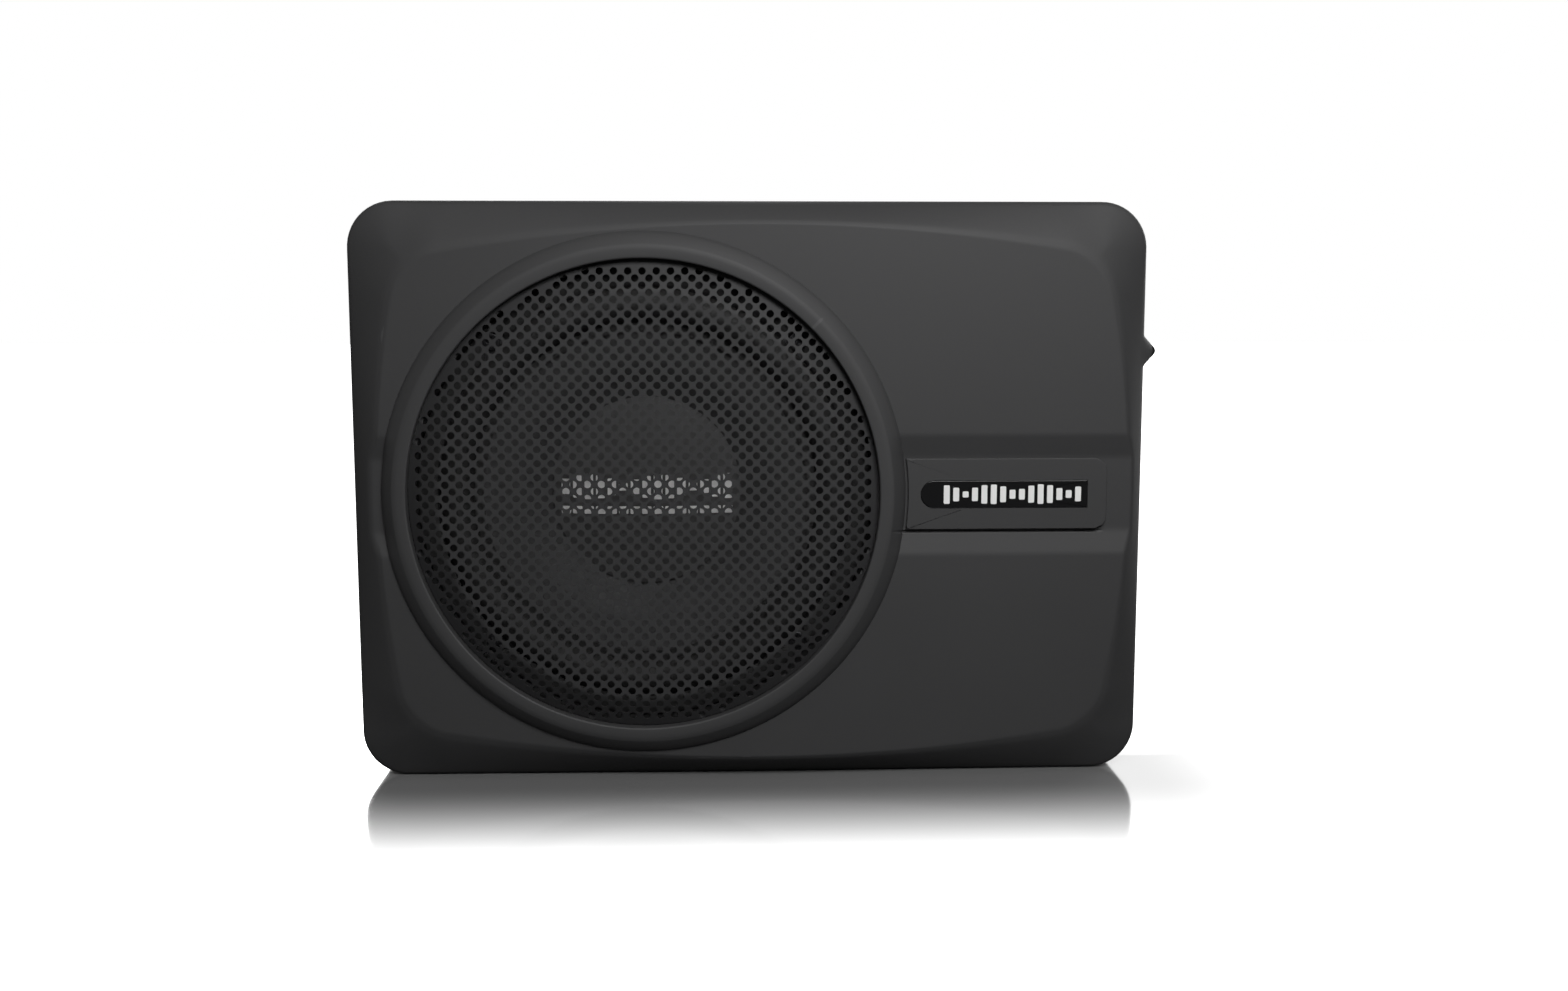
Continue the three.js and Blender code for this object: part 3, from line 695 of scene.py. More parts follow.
@dataclass(frozen=True)
class Finish:
    """One finish: a plain colour and gloss, with the relief, wear and dust that break them up.

    The mottle moves both colour and roughness; wear shows the worn colour on edges; dust lies on top.
    """

    name: str
    slot: str
    colour: Colour
    roughness: float
    metallic: float = 0.0
    texture: Texture = Texture.CAST
    scale: float = 1200.0
    relief: float = 0.03
    mottle: float = 0.25
    roughness_swing: float = 0.12
    wear: float = 0.0
    worn: Colour = (0.35, 0.35, 0.36)
    dust: float = 0.0
    coat: float = 0.0
    clear: float = 0.0
    glow: float = 0.0

    def material(self) -> bpy.types.Material:
        """The finish as a material, built the first time it is asked for."""
        found = bpy.data.materials.get(self.name)
        if found:
            return found
        material = bpy.data.materials.new(self.name)
        material.use_nodes = True
        material.diffuse_color = (*self.colour, 1)
        graph = Graph(material.node_tree)
        shader = graph.tree.nodes["Principled BSDF"]
        position = graph.node("ShaderNodeTexCoord").outputs["Object"]
        relief = graph.node("ShaderNodeGroup", node_tree=self.texture.group())
        graph.put(position, relief.inputs["Position"])
        relief.inputs["Scale"].default_value = self.scale
        colour = self.tinted(graph, relief.outputs["Mottle"])
        colour = self.overlaid(graph, position, colour)
        graph.put(colour, shader.inputs["Base Color"])
        swing = graph.math("MULTIPLY", graph.math("SUBTRACT", relief.outputs["Mottle"], 0.5),
                           self.roughness_swing)
        graph.put(graph.math("ADD", swing, self.roughness, clamp=True), shader.inputs["Roughness"])
        bump = graph.node("ShaderNodeBump")
        bump.inputs["Distance"].default_value = self.relief * MM
        bump.inputs["Strength"].default_value = 1.0
        graph.put(relief.outputs["Height"], bump.inputs["Height"])
        graph.put(bump.outputs[0], shader.inputs["Normal"])
        shader.inputs["Metallic"].default_value = self.metallic
        shader.inputs["Coat Weight"].default_value = self.coat
        shader.inputs["Coat Roughness"].default_value = 0.06
        shader.inputs["Transmission Weight"].default_value = self.clear
        if self.glow:
            shader.inputs["Emission Color"].default_value = (*self.colour, 1)
            shader.inputs["Emission Strength"].default_value = self.glow
        return material

    def tinted(self, graph: Graph, mottle: bpy.types.NodeSocket) -> bpy.types.NodeSocket:
        """The colour, darker and lighter by the mottle."""
        dark = (*(c * (1 - self.mottle) for c in self.colour), 1)
        light = (*(min(c * (1 + self.mottle), 1) for c in self.colour), 1)
        return graph.mixed(mottle, dark, light)

    def overlaid(self, graph: Graph, position: bpy.types.NodeSocket,
                 colour: object) -> bpy.types.NodeSocket:
        """The colour with worn edges and dust over it, where the finish has them."""
        layers = [(edge_wear, self.wear, self.worn), (settled_dust, self.dust, (0.42, 0.40, 0.37))]
        for build, amount, tone in layers:
            if not amount:
                continue
            mask = graph.node("ShaderNodeGroup", node_tree=build())
            graph.put(position, mask.inputs["Position"])
            mask.inputs["Amount"].default_value = amount
            colour = graph.mixed(mask.outputs["Mask"], colour, (*tone, 1))
        return colour

    def dress(self, *nodes: str) -> None:
        """Gives the finish to CAD nodes whose own shape is shown."""
        for node in nodes:
            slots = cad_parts[node].data.materials
            slots.clear()
            slots.append(self.material())


CAST_BLACK = Finish("cast black paint", "cast_black", (0.030, 0.030, 0.031), 0.66, scale=1500, relief=0.022,
                    mottle=0.18, wear=0.06, dust=0.03)
GRILLE_BLACK = Finish("grille black paint", "grille_black", (0.019, 0.019, 0.020), 0.72, scale=2200,
                      relief=0.012, mottle=0.2, dust=0.02)
COVER_BLACK = Finish("powder coat", "cover_black", (0.022, 0.022, 0.023), 0.55, scale=1800, relief=0.03,
                     mottle=0.25, wear=0.05, dust=0.02)
PLASTIC_BLACK = Finish("moulded plastic", "plastic_black", (0.016, 0.016, 0.017), 0.5, scale=2600,
                       relief=0.018, mottle=0.2, wear=0.03)
BADGE_BLACK = Finish("gloss badge", "badge_black", (0.004, 0.004, 0.0045), 0.2, scale=3000, relief=0.002,
                     mottle=0.2, roughness_swing=0.04, coat=0.5)
INK_WHITE = Finish("white ink", "badge_black", (0.80, 0.80, 0.79), 0.5, scale=4000, relief=0.004,
                   mottle=0.05)
RUBBER_BLACK = Finish("rubber", "rubber_black", (0.018, 0.018, 0.018), 0.62, scale=1600, relief=0.03,
                      mottle=0.3, dust=0.08)
# Painted light and shade, in part: the cone and cap are given more reflectance than bare black pulp so the
# driver shows through the grille's holes, and the cone is darker than the cap to deepen the shade on its
# steep inner wall.
CONE_BLACK = Finish("pressed pulp", "cone_black", (0.055, 0.055, 0.056), 0.6, texture=Texture.DRAWN,
                    scale=900, relief=0.05, mottle=0.35)
CAP_BLACK = Finish("pressed cap", "cone_black", (0.072, 0.072, 0.073), 0.55, texture=Texture.DRAWN,
                   scale=900, relief=0.03, mottle=0.2)
CAP_INK = Finish("white cap ink", "cone_black", (0.95, 0.95, 0.94), 0.5, scale=4000, relief=0.004,
                 mottle=0.04)
SPIDER_CLOTH = Finish("impregnated cloth", "spider_cloth", (0.50, 0.33, 0.14), 0.8, texture=Texture.WOVEN,
                      scale=9000, relief=0.08, mottle=0.35)
BARE_STEEL = Finish("zinc plate", "bare_steel", (0.55, 0.56, 0.57), 0.34, metallic=1.0,
                    texture=Texture.DRAWN, scale=2400, relief=0.01, mottle=0.12)
BLACK_STEEL = Finish("black zinc", "black_steel", (0.03, 0.03, 0.032), 0.4, metallic=0.6, scale=2000,
                     relief=0.01, wear=0.35, worn=(0.3, 0.3, 0.31))
FERRITE = Finish("sintered ferrite", "ferrite", (0.045, 0.045, 0.05), 0.65, scale=900, relief=0.05,
                 mottle=0.4)
COPPER = Finish("enamelled copper", "copper", (0.72, 0.30, 0.12), 0.3, metallic=1.0, texture=Texture.WOUND,
                scale=9000, relief=0.15, mottle=0.25)
BRASS = Finish("plated brass", "copper", (0.78, 0.58, 0.30), 0.28, metallic=1.0, texture=Texture.DRAWN,
               scale=3000, relief=0.006, mottle=0.1)
ALUMINIUM = Finish("mill aluminium", "bare_aluminium", (0.72, 0.73, 0.74), 0.38, metallic=1.0,
                   texture=Texture.DRAWN, scale=1800, relief=0.015, mottle=0.1)
BOARD_GREEN = Finish("solder resist", "board_green", (0.02, 0.13, 0.05), 0.35, texture=Texture.WOVEN,
                     scale=3000, relief=0.02, mottle=0.4)
FUSE_BLUE = Finish("tinted fuse body", "fuse_blue", (0.03, 0.16, 0.75), 0.18, scale=2000, relief=0.004,
                   mottle=0.1, clear=0.35)
LAMP_RED = Finish("lamp", "led_red", (0.75, 0.04, 0.02), 0.2, scale=3000, relief=0.002, mottle=0.1,
                  clear=0.2)
PLUG_RED = Finish("red insulation", "plastic_black", (0.55, 0.02, 0.02), 0.35, scale=3000, relief=0.004,
                  mottle=0.1)
PLUG_WHITE = Finish("white insulation", "plastic_black", (0.75, 0.75, 0.72), 0.35, scale=3000, relief=0.004,
                    mottle=0.06)


# The cast housing.


@dataclass
class Housing:
    """The die-cast housing: one closed skin on a grid that follows its features.

    One way, the grid runs round the driver. The other way, it climbs out of the grille's seat, over
    the bezel, across the raised face, down the shoulder and the wall, and back along the inside.
    """

    corner: float = 20.0
    top_in: float = 9.4
    right_in: float = 8.2
    left_in: float = 11.7
    top_arc: float = 850.0
    top_centre: float = 5.0
    right_arc: float = 437.0
    left_arc: float = 490.0
    face_corner: float = 16.0
    face: float = 65.0
    crown: float = 0.9
    foot: float = 53.0
    shoulder_bulge: float = 0.3
    crease: float = 1.3
    channel_floor: float = 2.3
    channel_half_floor: float = 16.0
    channel_half_mouth: float = 26.0
    gap_v: float = -16.3
    gap_half: float = 0.75
    gap_deep: float = 1.2
    gap_end: float = 153.0
    bore: float = 101.25
    bezel_flat: float = 107.0
    bezel_foot: float = 113.0
    bezel_top: float = 69.6
    seat: float = 63.9
    rear: float = 6.7
    wall: float = 3.0
    lug_v: float = 61.5
    lug_reach: float = 6.0
    lug_tip: float = 3.0
    lug_slope: float = 1.3
    lug_low: float = 35.0
    lug_run: float = 4.0
    pocket_low: float = -96.0
    pocket_high: float = 48.0
    pocket_back: float = 10.0
    pocket_front: float = 42.0
    aligned: float = 45.0

    def wall_depth(self, x: Array, v: Array) -> Array:
        """Depth inside the walls' rounded rectangle."""
        return rounded_depth(WIDTH / 2 - np.abs(x), HEIGHT / 2 - np.abs(v), self.corner)

    def face_depth(self, x: Array, v: Array) -> Array:
        """Depth inside the raised face, whose four edges are arcs: each distance grows as a square."""
        right = WIDTH / 2 - self.right_in - v * v / (2 * self.right_arc) - x
        left = WIDTH / 2 - self.left_in - v * v / (2 * self.left_arc) + x
        up = HEIGHT / 2 - self.top_in - (x - self.top_centre) ** 2 / (2 * self.top_arc) - np.abs(v)
        return rounded_depth(np.where(x > 0, right, left), up, self.face_corner)

    def channel(self, v: Array) -> Array:
        """How far the channel is down, from 0 outside to 1 on its floor, along two straight chamfers."""
        across = (self.channel_half_mouth - np.abs(v)) / (self.channel_half_mouth - self.channel_half_floor)
        return soft_min(soft_max(across, np.zeros_like(v), 0.12), np.ones_like(v), 0.16)

    def shadow_gap(self, x: Array, v: Array) -> Array:
        """Depth of the groove under the plate's lower edge: a raised cosine that runs out at the right."""
        across = np.clip(np.abs(v - self.gap_v) / self.gap_half, 0, 1)
        return self.gap_deep * (0.5 + 0.5 * np.cos(np.pi * across)) * smooth_step((self.gap_end - x)
                                                                                  / 3) * (x > 0)

    def surface(self, x: Array, v: Array) -> Array:
        """Height of the front: the lower of the crowned face, less the channel, and the shoulder.

        The face is a paraboloid. The shoulder climbs from the wall to the face's edge: its rise is the
        fraction of the way there, plus a bulge of that fraction times what is left of it.
        """
        wall, face = self.wall_depth(x, v), self.face_depth(x, v)
        crowned = self.face - self.crown * ((2 * x / WIDTH) ** 2 + (2 * v / HEIGHT) ** 2)
        way = wall / np.maximum(wall - face, 1)
        rise = way + self.shoulder_bulge * way * np.maximum(1 - way, 0)
        shoulder = self.foot + (crowned - self.foot) * rise
        channelled = crowned - self.channel_floor * self.channel(v) - self.shadow_gap(x, v)
        return soft_min(channelled, shoulder, self.crease)

    def lug(self, v: Array) -> Array:
        """Reach of the lug: a hyperbola, run out into the wall."""
        reach = self.lug_reach + self.lug_tip - np.hypot(self.lug_slope * (v - self.lug_v), self.lug_tip)
        return soft_max(reach, np.zeros_like(v), 1.0)

    def spokes(self, angle: Array) -> tuple[Array, Array, Array]:
        """Where the grid's lines leave the bezel, cross the face's edge and reach the wall.

        Lines near the channel run level, so that its edges follow them. Further up, they fan out, and
        left of the driver they are radial.

        Args:
            angle: Angle round the driver of each line's start, in radians, from -pi to pi.

        Returns:
            Points (x, v) on the bezel's foot, on the face's edge and on the wall.
        """
        start = np.stack([DRIVER_X + self.bezel_foot * np.cos(angle), self.bezel_foot * np.sin(angle)], -1)
        level = np.arcsin(self.aligned / self.bezel_foot)
        fan = np.clip((np.abs(angle) - level) / (np.pi / 2 - level), 0, 1) ** 1.6 * np.pi / 2
        turn = np.where(np.abs(angle) < np.pi / 2, np.sign(angle) * fan, angle)
        edge = march(start, np.stack([np.cos(turn), np.sin(turn)], -1), self.face_depth, 320)
        limit_right = WIDTH / 2 - self.right_in - self.face_corner - 13
        limit_left = -(WIDTH / 2 - self.left_in - self.face_corner - 11)
        limit_v = HEIGHT / 2 - self.top_in - self.face_corner - 12
        centre = np.stack([np.clip(edge[:, 0], limit_left, limit_right),
                           np.clip(edge[:, 1], -limit_v, limit_v)], -1)
        heading = edge - centre
        heading /= np.maximum(np.linalg.norm(heading, axis=1, keepdims=True), 1e-9)
        return start, edge, march(centre, heading, self.wall_depth, 80)

    def stations(self) -> Array:
        """Angles of the grid's lines: even steps of the wall, closer at the channel's edges and the lug."""
        angle = np.linspace(-np.pi, np.pi, 8001)
        _, edge, wall = self.spokes(angle)
        step = np.linalg.norm(np.diff(edge, axis=0), axis=1) + np.linalg.norm(np.diff(wall, axis=0), axis=1)
        v, x = edge[1:, 1], wall[1:, 0]
        channel_edge = np.minimum(*(np.abs(np.abs(v) - e) for e in (self.channel_half_floor,
                                                                    self.channel_half_mouth)))
        at_lug = (np.abs(wall[1:, 1] - self.lug_v) < self.lug_reach + 4) & (x > 0)
        at_gap = (np.abs(v - self.gap_v) < 1.1) & (x > 0)
        spacing = np.where(at_gap, 0.5, np.where(channel_edge < 1.6, 0.9, np.where(at_lug, 1.2, 3.6)))
        count = np.concatenate([[0], np.cumsum(step / spacing)])
        even = np.interp(np.arange(int(count[-1])), count, angle)
        right = (np.abs(angle) < 1.2) & (wall[:, 0] > WIDTH / 2 - 0.01)
        pocket = np.array([self.pocket_low - 0.6, self.pocket_low, self.pocket_high,
                           self.pocket_high + 0.6])
        exact = np.interp(pocket, wall[right, 1], angle[right])
        clear = np.abs(even[:, None] - exact[None, :]).min(1) > 0.0012
        return np.sort(np.concatenate([even[clear], exact]))

    def skin(self) -> Shape:
        """The closed skin, with the connector pocket cut through the right-hand wall."""
        angle = self.stations()
        start, edge, wall = self.spokes(angle)
        out = wall - edge
        out /= np.linalg.norm(out, axis=1, keepdims=True)
        reach = np.where(wall[:, 0] > WIDTH / 2 - 0.01, self.lug(wall[:, 1]), 0)
        loops = [*self.bezel(angle), *self.front(start, edge, wall)]
        loops += self.brow(wall, out, reach)
        outer = [self.pocket_front, 38.0, 36.5, 34.0, 26.0, 18.0, self.pocket_back]
        before = [48.0, 45.0, 43.5, self.pocket_front + 0.6]
        outer_row = len(loops) + len(before)
        for h in before + outer:
            run_out = smooth_step(np.array((h - self.lug_low) / self.lug_run))
            loops.append(self.ring(wall, out, reach * run_out, h))
        for d, h in filleted([(0, self.pocket_back - 0.6, 0), (0, self.rear, 0.8),
                              (self.wall, self.rear, 0)]):
            loops.append(self.ring(wall, out, -d, h))
        window = smooth_step((wall[:, 1] - self.pocket_low + 6)
                             / 3) * smooth_step((self.pocket_high + 6 - wall[:, 1]) / 3)
        thick = self.wall + 4.8 * window * (wall[:, 0] > WIDTH / 2 - 0.01)
        inner_row = len(loops)
        for h in outer[::-1]:
            loops.append(self.ring(wall, out, -thick, h))
        loops.append(self.ring(wall, out, -thick, self.foot - 5))
        loops.append(level(edge, self.face - 7))
        loops += self.well(angle)
        count = len(angle)
        faces = grid_faces(len(loops), count, wrap_rows=True)[:, ::-1]
        low, high = (int(np.argmin(np.abs(wall[:, 1] - v) + 1e3 * (wall[:, 0] < 0))) for v in
                     (self.pocket_low, self.pocket_high))
        row, column = np.divmod(np.arange(len(faces)), count)
        between = (column >= low) & (column < high)
        steps = len(outer) - 1
        cut = between & (((row >= outer_row) & (row < outer_row + steps))
                         | ((row >= inner_row) & (row < inner_row + steps)))
        points = np.array(loops)
        for index, line in ((outer_row, slice(low, high + 1)), (outer_row + steps, slice(low, high + 1))):
            points[index, line, 0] -= 0.6
        points[outer_row + 1 : outer_row + steps, [low, high], 0] -= 0.6
        sleeve = self.sleeve(low, high, outer_row, inner_row, steps, count)
        return Shape(points.reshape(-1, 3), [faces[~cut], sleeve])

    def sleeve(self, low: int, high: int, outer: int, inner: int, steps: int, count: int) -> Array:
        """The quads that line the pocket, from the outer skin's cut edge to the inner skin's.

        Args:
            low: Grid line at the pocket's lower end.
            high: Grid line at its upper end.
            outer: First row of the cut in the outer skin.
            inner: First row of the cut in the inner skin, which runs the other way.
            steps: Rows in the cut.
            count: Grid lines in a row.

        Returns:
            The quads.
        """
        column, row = np.arange(low, high), np.arange(steps)
        front = np.stack([column, column + 1, 0 * column, 0 * column], -1)
        front[:, :2] += outer * count
        front[:, 2] = (inner + steps) * count + column + 1
        front[:, 3] = (inner + steps) * count + column
        back = np.stack([column, column + 1, 0 * column, 0 * column], -1)
        back[:, :2] += (outer + steps) * count
        back[:, 2] = inner * count + column + 1
        back[:, 3] = inner * count + column
        sides = []
        for line in (low, high):
            sides.append(np.stack([(outer + row) * count + line, (outer + row + 1) * count + line,
                                   (inner + steps - row - 1) * count + line,
                                   (inner + steps - row) * count + line], -1))
        return np.concatenate([front[:, ::-1], back, sides[0], sides[1][:, ::-1]])

    def ring(self, wall: Array, out: Array, reach: object, h: float) -> Array:
        """One loop of the wall: its outline moved out by a reach, at a height."""
        return level(wall + out * np.reshape(reach, (-1, 1)), h)

    def circle(self, angle: Array, radius: float, h: object) -> Array:
        """One loop round the driver."""
        return np.column_stack([DRIVER_X + radius * np.cos(angle), radius * np.sin(angle), h + 0 * angle])

    def bezel(self, angle: Array) -> list[Array]:
        """Loops of the bezel: up its bore, over its crowned top and down its skirt to the face.

        The skirt falls along the 0.7th power of the way in from its foot, so it is steepest there.
        """
        top = self.bezel_top
        bore = filleted([(self.bore, self.seat, 0), (self.bore, top - 0.1, 0.9),
                         (self.bezel_flat - 2, top, 0)])
        loops = [self.circle(angle, r, h) for r, h in bore]
        width = self.bezel_foot - self.bezel_flat
        for way in np.linspace(1, 0, 11)[:-1]:
            radius = self.bezel_foot - width * way
            x, v = DRIVER_X + self.bezel_foot * np.cos(angle), self.bezel_foot * np.sin(angle)
            base = self.surface(x, v)
            loops.append(self.circle(angle, radius, base + (top - 0.15 - base) * way**0.7))
        return loops

    def front(self, start: Array, edge: Array, wall: Array) -> list[Array]:
        """Loops over the raised face, closer towards its edge, and over the shoulder to near the wall."""
        loops = []
        for way in 1 - (1 - np.linspace(0, 1, 46)) ** 1.6:
            at = start + (edge - start) * way
            loops.append(np.column_stack([at, self.surface(at[:, 0], at[:, 1])]))
        run = np.linalg.norm(wall - edge, axis=1, keepdims=True)
        last = 1 - 2.2 / run
        for way in np.linspace(0, 1, 17)[1:] ** 1.3:
            at = edge + (wall - edge) * last * way
            loops.append(np.column_stack([at, self.surface(at[:, 0], at[:, 1])]))
        return loops

    def brow(self, wall: Array, out: Array, reach: Array) -> list[Array]:
        """Loops round the shoulder's foot: a quadratic curve from the shoulder down into the wall."""
        inside = wall - 2.2 * out
        first = np.column_stack([inside, self.surface(inside[:, 0], inside[:, 1])])
        tip = wall + out * reach[:, None]
        middle = np.column_stack([tip, self.foot - 0.8 * reach])
        last = middle - np.array([0, 0, 2.4])
        curve = [(1 - t) ** 2 * first + 2 * t * (1 - t) * middle + t * t
                 * last for t in np.linspace(0, 1, 8)[1:]]
        return curve

    def well(self, angle: Array) -> list[Array]:
        """Loops of the driver's well and ledge, back to the grille's seat."""
        corners = [(104, self.face - 7), (104, 46), (87.5, 46), (87.5, 50), (99.3, 50), (99.3, self.seat)]
        return [self.circle(angle, r, h) for r, h in corners]

    def build(self) -> None:
        """Makes the housing."""
        make(Piece("housing_casting", Body.HOUSING, ("front_housing",)), self.skin(), CAST_BLACK, crease=48)


# The grille.


@dataclass
class Grille:
    """The pressed steel grille: a flat middle, a steep rim and a square net of holes turned 45 degrees."""

    half_pitch: float = 3.0
    hole: float = 1.62
    sides: int = 12
    sheet: float = 0.8
    flat: float = 88.0
    flange: float = 64.9
    crown: float = 0.15

    def dish(self, radius: Array) -> Array:
        """Height of the sheet's front: a slightly crowned middle, then a straight skirt down to the rim."""
        rim = (GRILLE_HIGH[0] - GRILLE_LOW[0]) / 2
        middle = GRILLE_HIGH[2] - self.crown * (radius / self.flat) ** 2
        drop = (GRILLE_HIGH[2] - self.crown - self.flange) / (rim - self.flat)
        return soft_min(middle, self.flange + drop * (rim - radius), 0.5)

    def net(self) -> tuple[Array, Array, Array]:
        """The blank with its holes, flat: one ring of quads for each hole, between it and its diamond.

        Returns:
            Points (x, v), quads, and the edges of the holes as pairs of points.
        """
        limit = (GRILLE_HIGH[0] - GRILLE_LOW[0]) / 2 - 1.9
        reach = int(limit / self.half_pitch) + 1
        column, row = np.meshgrid(np.arange(-reach, reach + 1), np.arange(-reach, reach + 1))
        kept = ((column + row) % 2 == 0) & (np.hypot(column, row) * self.half_pitch < limit)
        centre = np.column_stack([column[kept], row[kept]]) * self.half_pitch
        angle = np.arange(self.sides) * 2 * np.pi / self.sides
        unit = np.column_stack([np.cos(angle), np.sin(angle)])
        diamond = self.half_pitch * unit / np.abs(unit).sum(1, keepdims=True)
        cell = np.concatenate([diamond, self.hole * unit])
        points = (centre[:, None] + cell[None]).reshape(-1, 2)
        here = np.arange(self.sides)
        there = (here + 1) % self.sides
        quad = np.stack([here, there, there + self.sides, here + self.sides], -1)
        shift = np.arange(len(centre)) * 2 * self.sides
        quads = (quad[None] + shift[:, None, None]).reshape(-1, 4)
        rims = (np.stack([here, there], -1)[None] + self.sides + shift[:, None, None]).reshape(-1, 2)
        _, first, merged = np.unique(np.round(points, 4), axis=0, return_index=True, return_inverse=True)
        merged = merged.reshape(-1)
        return points[first], merged[quads], merged[rims]

    def border(self, points: Array, quads: Array) -> tuple[Array, Array, Array]:
        """Fills between the net's ragged edge and the sheet's round one, straight out from the centre.

        Args:
            points: The net's points.
            quads: Its quads.

        Returns:
            All points, the new quads, and the edges of the round rim.
        """
        edges = np.stack([quads, np.roll(quads, -1, 1)], -1).reshape(-1, 2)
        key = edges[:, 0] * len(points) + edges[:, 1]
        back = edges[:, 1] * len(points) + edges[:, 0]
        open_edges = edges[~np.isin(key, back)]
        far = np.hypot(*points[open_edges[:, 0]].T) > self.flat
        ragged = open_edges[far & ~self.is_hole(points, open_edges)]
        names, place = np.unique(ragged, return_inverse=True)
        place = place.reshape(ragged.shape) + len(points)
        outward = points[names] / np.hypot(*points[names].T)[:, None]
        rim = outward * (GRILLE_HIGH[0] - GRILLE_LOW[0]) / 2
        fill = np.column_stack([ragged[:, 1], ragged[:, 0], place[:, 0], place[:, 1]])
        return np.concatenate([points, rim]), fill, place

    def is_hole(self, points: Array, edges: Array) -> Array:
        """Whether each edge belongs to a hole: a hole's edges are shorter than a diamond's."""
        length = np.linalg.norm(points[edges[:, 0]] - points[edges[:, 1]], axis=1)
        return length < 1.01 * 2 * self.hole * np.sin(np.pi / self.sides)

    def sheet_metal(self) -> Shape:
        """The dished sheet: front, back, the walls of the holes and the rim."""
        flat, quads, rims = self.net()
        flat, fill, outer = self.border(flat, quads)
        radius = np.minimum(np.hypot(*flat.T), (GRILLE_HIGH[0] - GRILLE_LOW[0]) / 2)
        front = np.column_stack([flat[:, 0] + DRIVER_X, flat[:, 1], self.dish(radius)])
        back = front - np.array([0, 0, self.sheet])
        count = len(flat)
        face = np.concatenate([quads, fill])
        walls = np.column_stack([rims[:, 0], rims[:, 1], rims[:, 1] + count, rims[:, 0] + count])
        edge = np.column_stack([outer[:, 1], outer[:, 0], outer[:, 0] + count, outer[:, 1] + count])
        return Shape(np.concatenate([front, back]), [face, face[:, ::-1] + count, walls, edge])

    def build(self) -> None:
        """Makes the grille."""
        make(Piece("perforated_grille", Body.HOUSING, ("grille",)), self.sheet_metal(), GRILLE_BLACK,
             crease=50)


# The badge.


@dataclass
class Badge:
    """The plate that lies in the channel, the gloss label let into it and the label's printed bars."""

    bezel_gap: float = 114.0
    corner: float = 6.0
    points: int = 360
    label_edge: float = 0.3
    bevel: float = 0.8
    motif_shift: float = 3.6
    bars: int = 15
    bar_pitch: float = 4.1
    bar_half_width: float = 1.3

    def carrier_outline(self) -> Array:
        """The plate's outline: an arc about the driver on the left, and two rounds on the right."""
        low, high = cabinet_box("badge_carrier")
        half = (high[1] - low[1]) / 2
        turn = np.linspace(0, np.pi / 2, 10)
        round_low = np.column_stack([high[0] - self.corner + self.corner * np.sin(turn),
                                     -half + self.corner - self.corner * np.cos(turn)])
        round_high = round_low[::-1] * [1, -1]
        sweep = np.linspace(1, -1, 24) * np.arcsin(half / self.bezel_gap)
        arc = np.column_stack([DRIVER_X + self.bezel_gap * np.cos(sweep), self.bezel_gap * np.sin(sweep)])
        return self.on_spokes(np.concatenate([round_low, round_high, arc]))

    def on_spokes(self, outline: Array) -> Array:
        """An outline's points on the spokes that the plate and the label share."""
        low, high = cabinet_box("badge_plate")
        return spoked(outline, (low + high)[:2] / 2, (high - low)[:2] / 2, self.points)

    def label_outline(self, margin: float) -> Array:
        """The label's outline: square on the right and a half circle on the left.

        Args:
            margin: How far it lies outside the label.

        Returns:
            Points (x, v).
        """
        low, high = cabinet_box("badge_plate")
        half = (high[1] - low[1]) / 2 + margin
        right = [(high[0] + margin, -half), (high[0] + margin, half)]
        turn = np.linspace(np.pi / 2, 3 * np.pi / 2, 40)
        left = np.column_stack([low[0] - margin + half + half * np.cos(turn), half * np.sin(turn)])
        return self.on_spokes(np.concatenate([right, left]))

    def carrier(self) -> Shape:
        """The plate: up its rim, across its top and down into the label's recess.

        The rim is a small round, but along the lower side it turns into a wide bevel: the two are mixed
        by how low a point lies.
        """
        low, high = cabinet_box("badge_carrier")
        outline, recess = self.carrier_outline(), self.label_outline(self.label_edge)
        rounded = edged(low[2] - 0.9, high[2], 0.5)
        way = np.linspace(0, 1, len(rounded))
        bevel = np.column_stack([self.bevel * way,
                                 low[2] - 0.4 + (high[2] - low[2] + 0.4) * np.minimum(1.1 * way, 1)])
        under = smooth_step((-outline[:, 1:] - high[1] + 2.2) / 1.6)
        loops = []
        for (near, up), (far, climb) in zip(rounded, bevel):
            plain = np.column_stack([inset(outline, near), np.full(self.points, up)])
            bevelled = np.column_stack([inset(outline, far), np.full(self.points, climb)])
            loops.append(plain * (1 - under) + bevelled * under)
        flat = [loops[-1] * (1 - way) + np.column_stack([recess, np.full(self.points, high[2])]) * way
                for way in (0.06, 0.94)]
        pocket = [(recess, high[2]), (inset(recess, 0.08), high[2] - 0.12),
                  (inset(recess, 0.1), high[2] - 1.0)]
        loops += flat + [np.column_stack([line, np.full(self.points, h)]) for line, h in pocket]
        return skinned(np.array(loops))

    def motif(self) -> Shape:
        """A row of level bars: each bar's height follows a sine wave along the row."""
        low, high = cabinet_box("badge_plate")
        middle = (low[0] + high[0]) / 2 + self.motif_shift
        bars = []
        for i in range(self.bars):
            way = i / (self.bars - 1)
            half = 1.3 + 3.0 * abs(np.cos(2.6 * np.pi * way + 0.4))
            bar = plated(rounded_rectangle(self.bar_half_width, half, 0.5), edged(0, 0.1, 0.04, 0.02))
            bar = bar.moved(middle + (i - (self.bars - 1) / 2) * self.bar_pitch, 0, high[2])
            bars.append(bar)
        return joined(bars)

    def build(self) -> None:
        """Makes the plate, the label and its print."""
        low, high = cabinet_box("badge_plate")
        make(Piece("badge_carrier_cast", Body.HOUSING, ("badge_carrier",)), self.carrier(), CAST_BLACK)
        label = plated(self.label_outline(0), edged(low[2], high[2], 0.25))
        make(Piece("badge_label", Body.HOUSING, ("badge_plate",)), label, BADGE_BLACK)
        make(Piece("badge_print", Body.HOUSING), self.motif(), INK_WHITE)


# Screws, used at the back and on the driver.


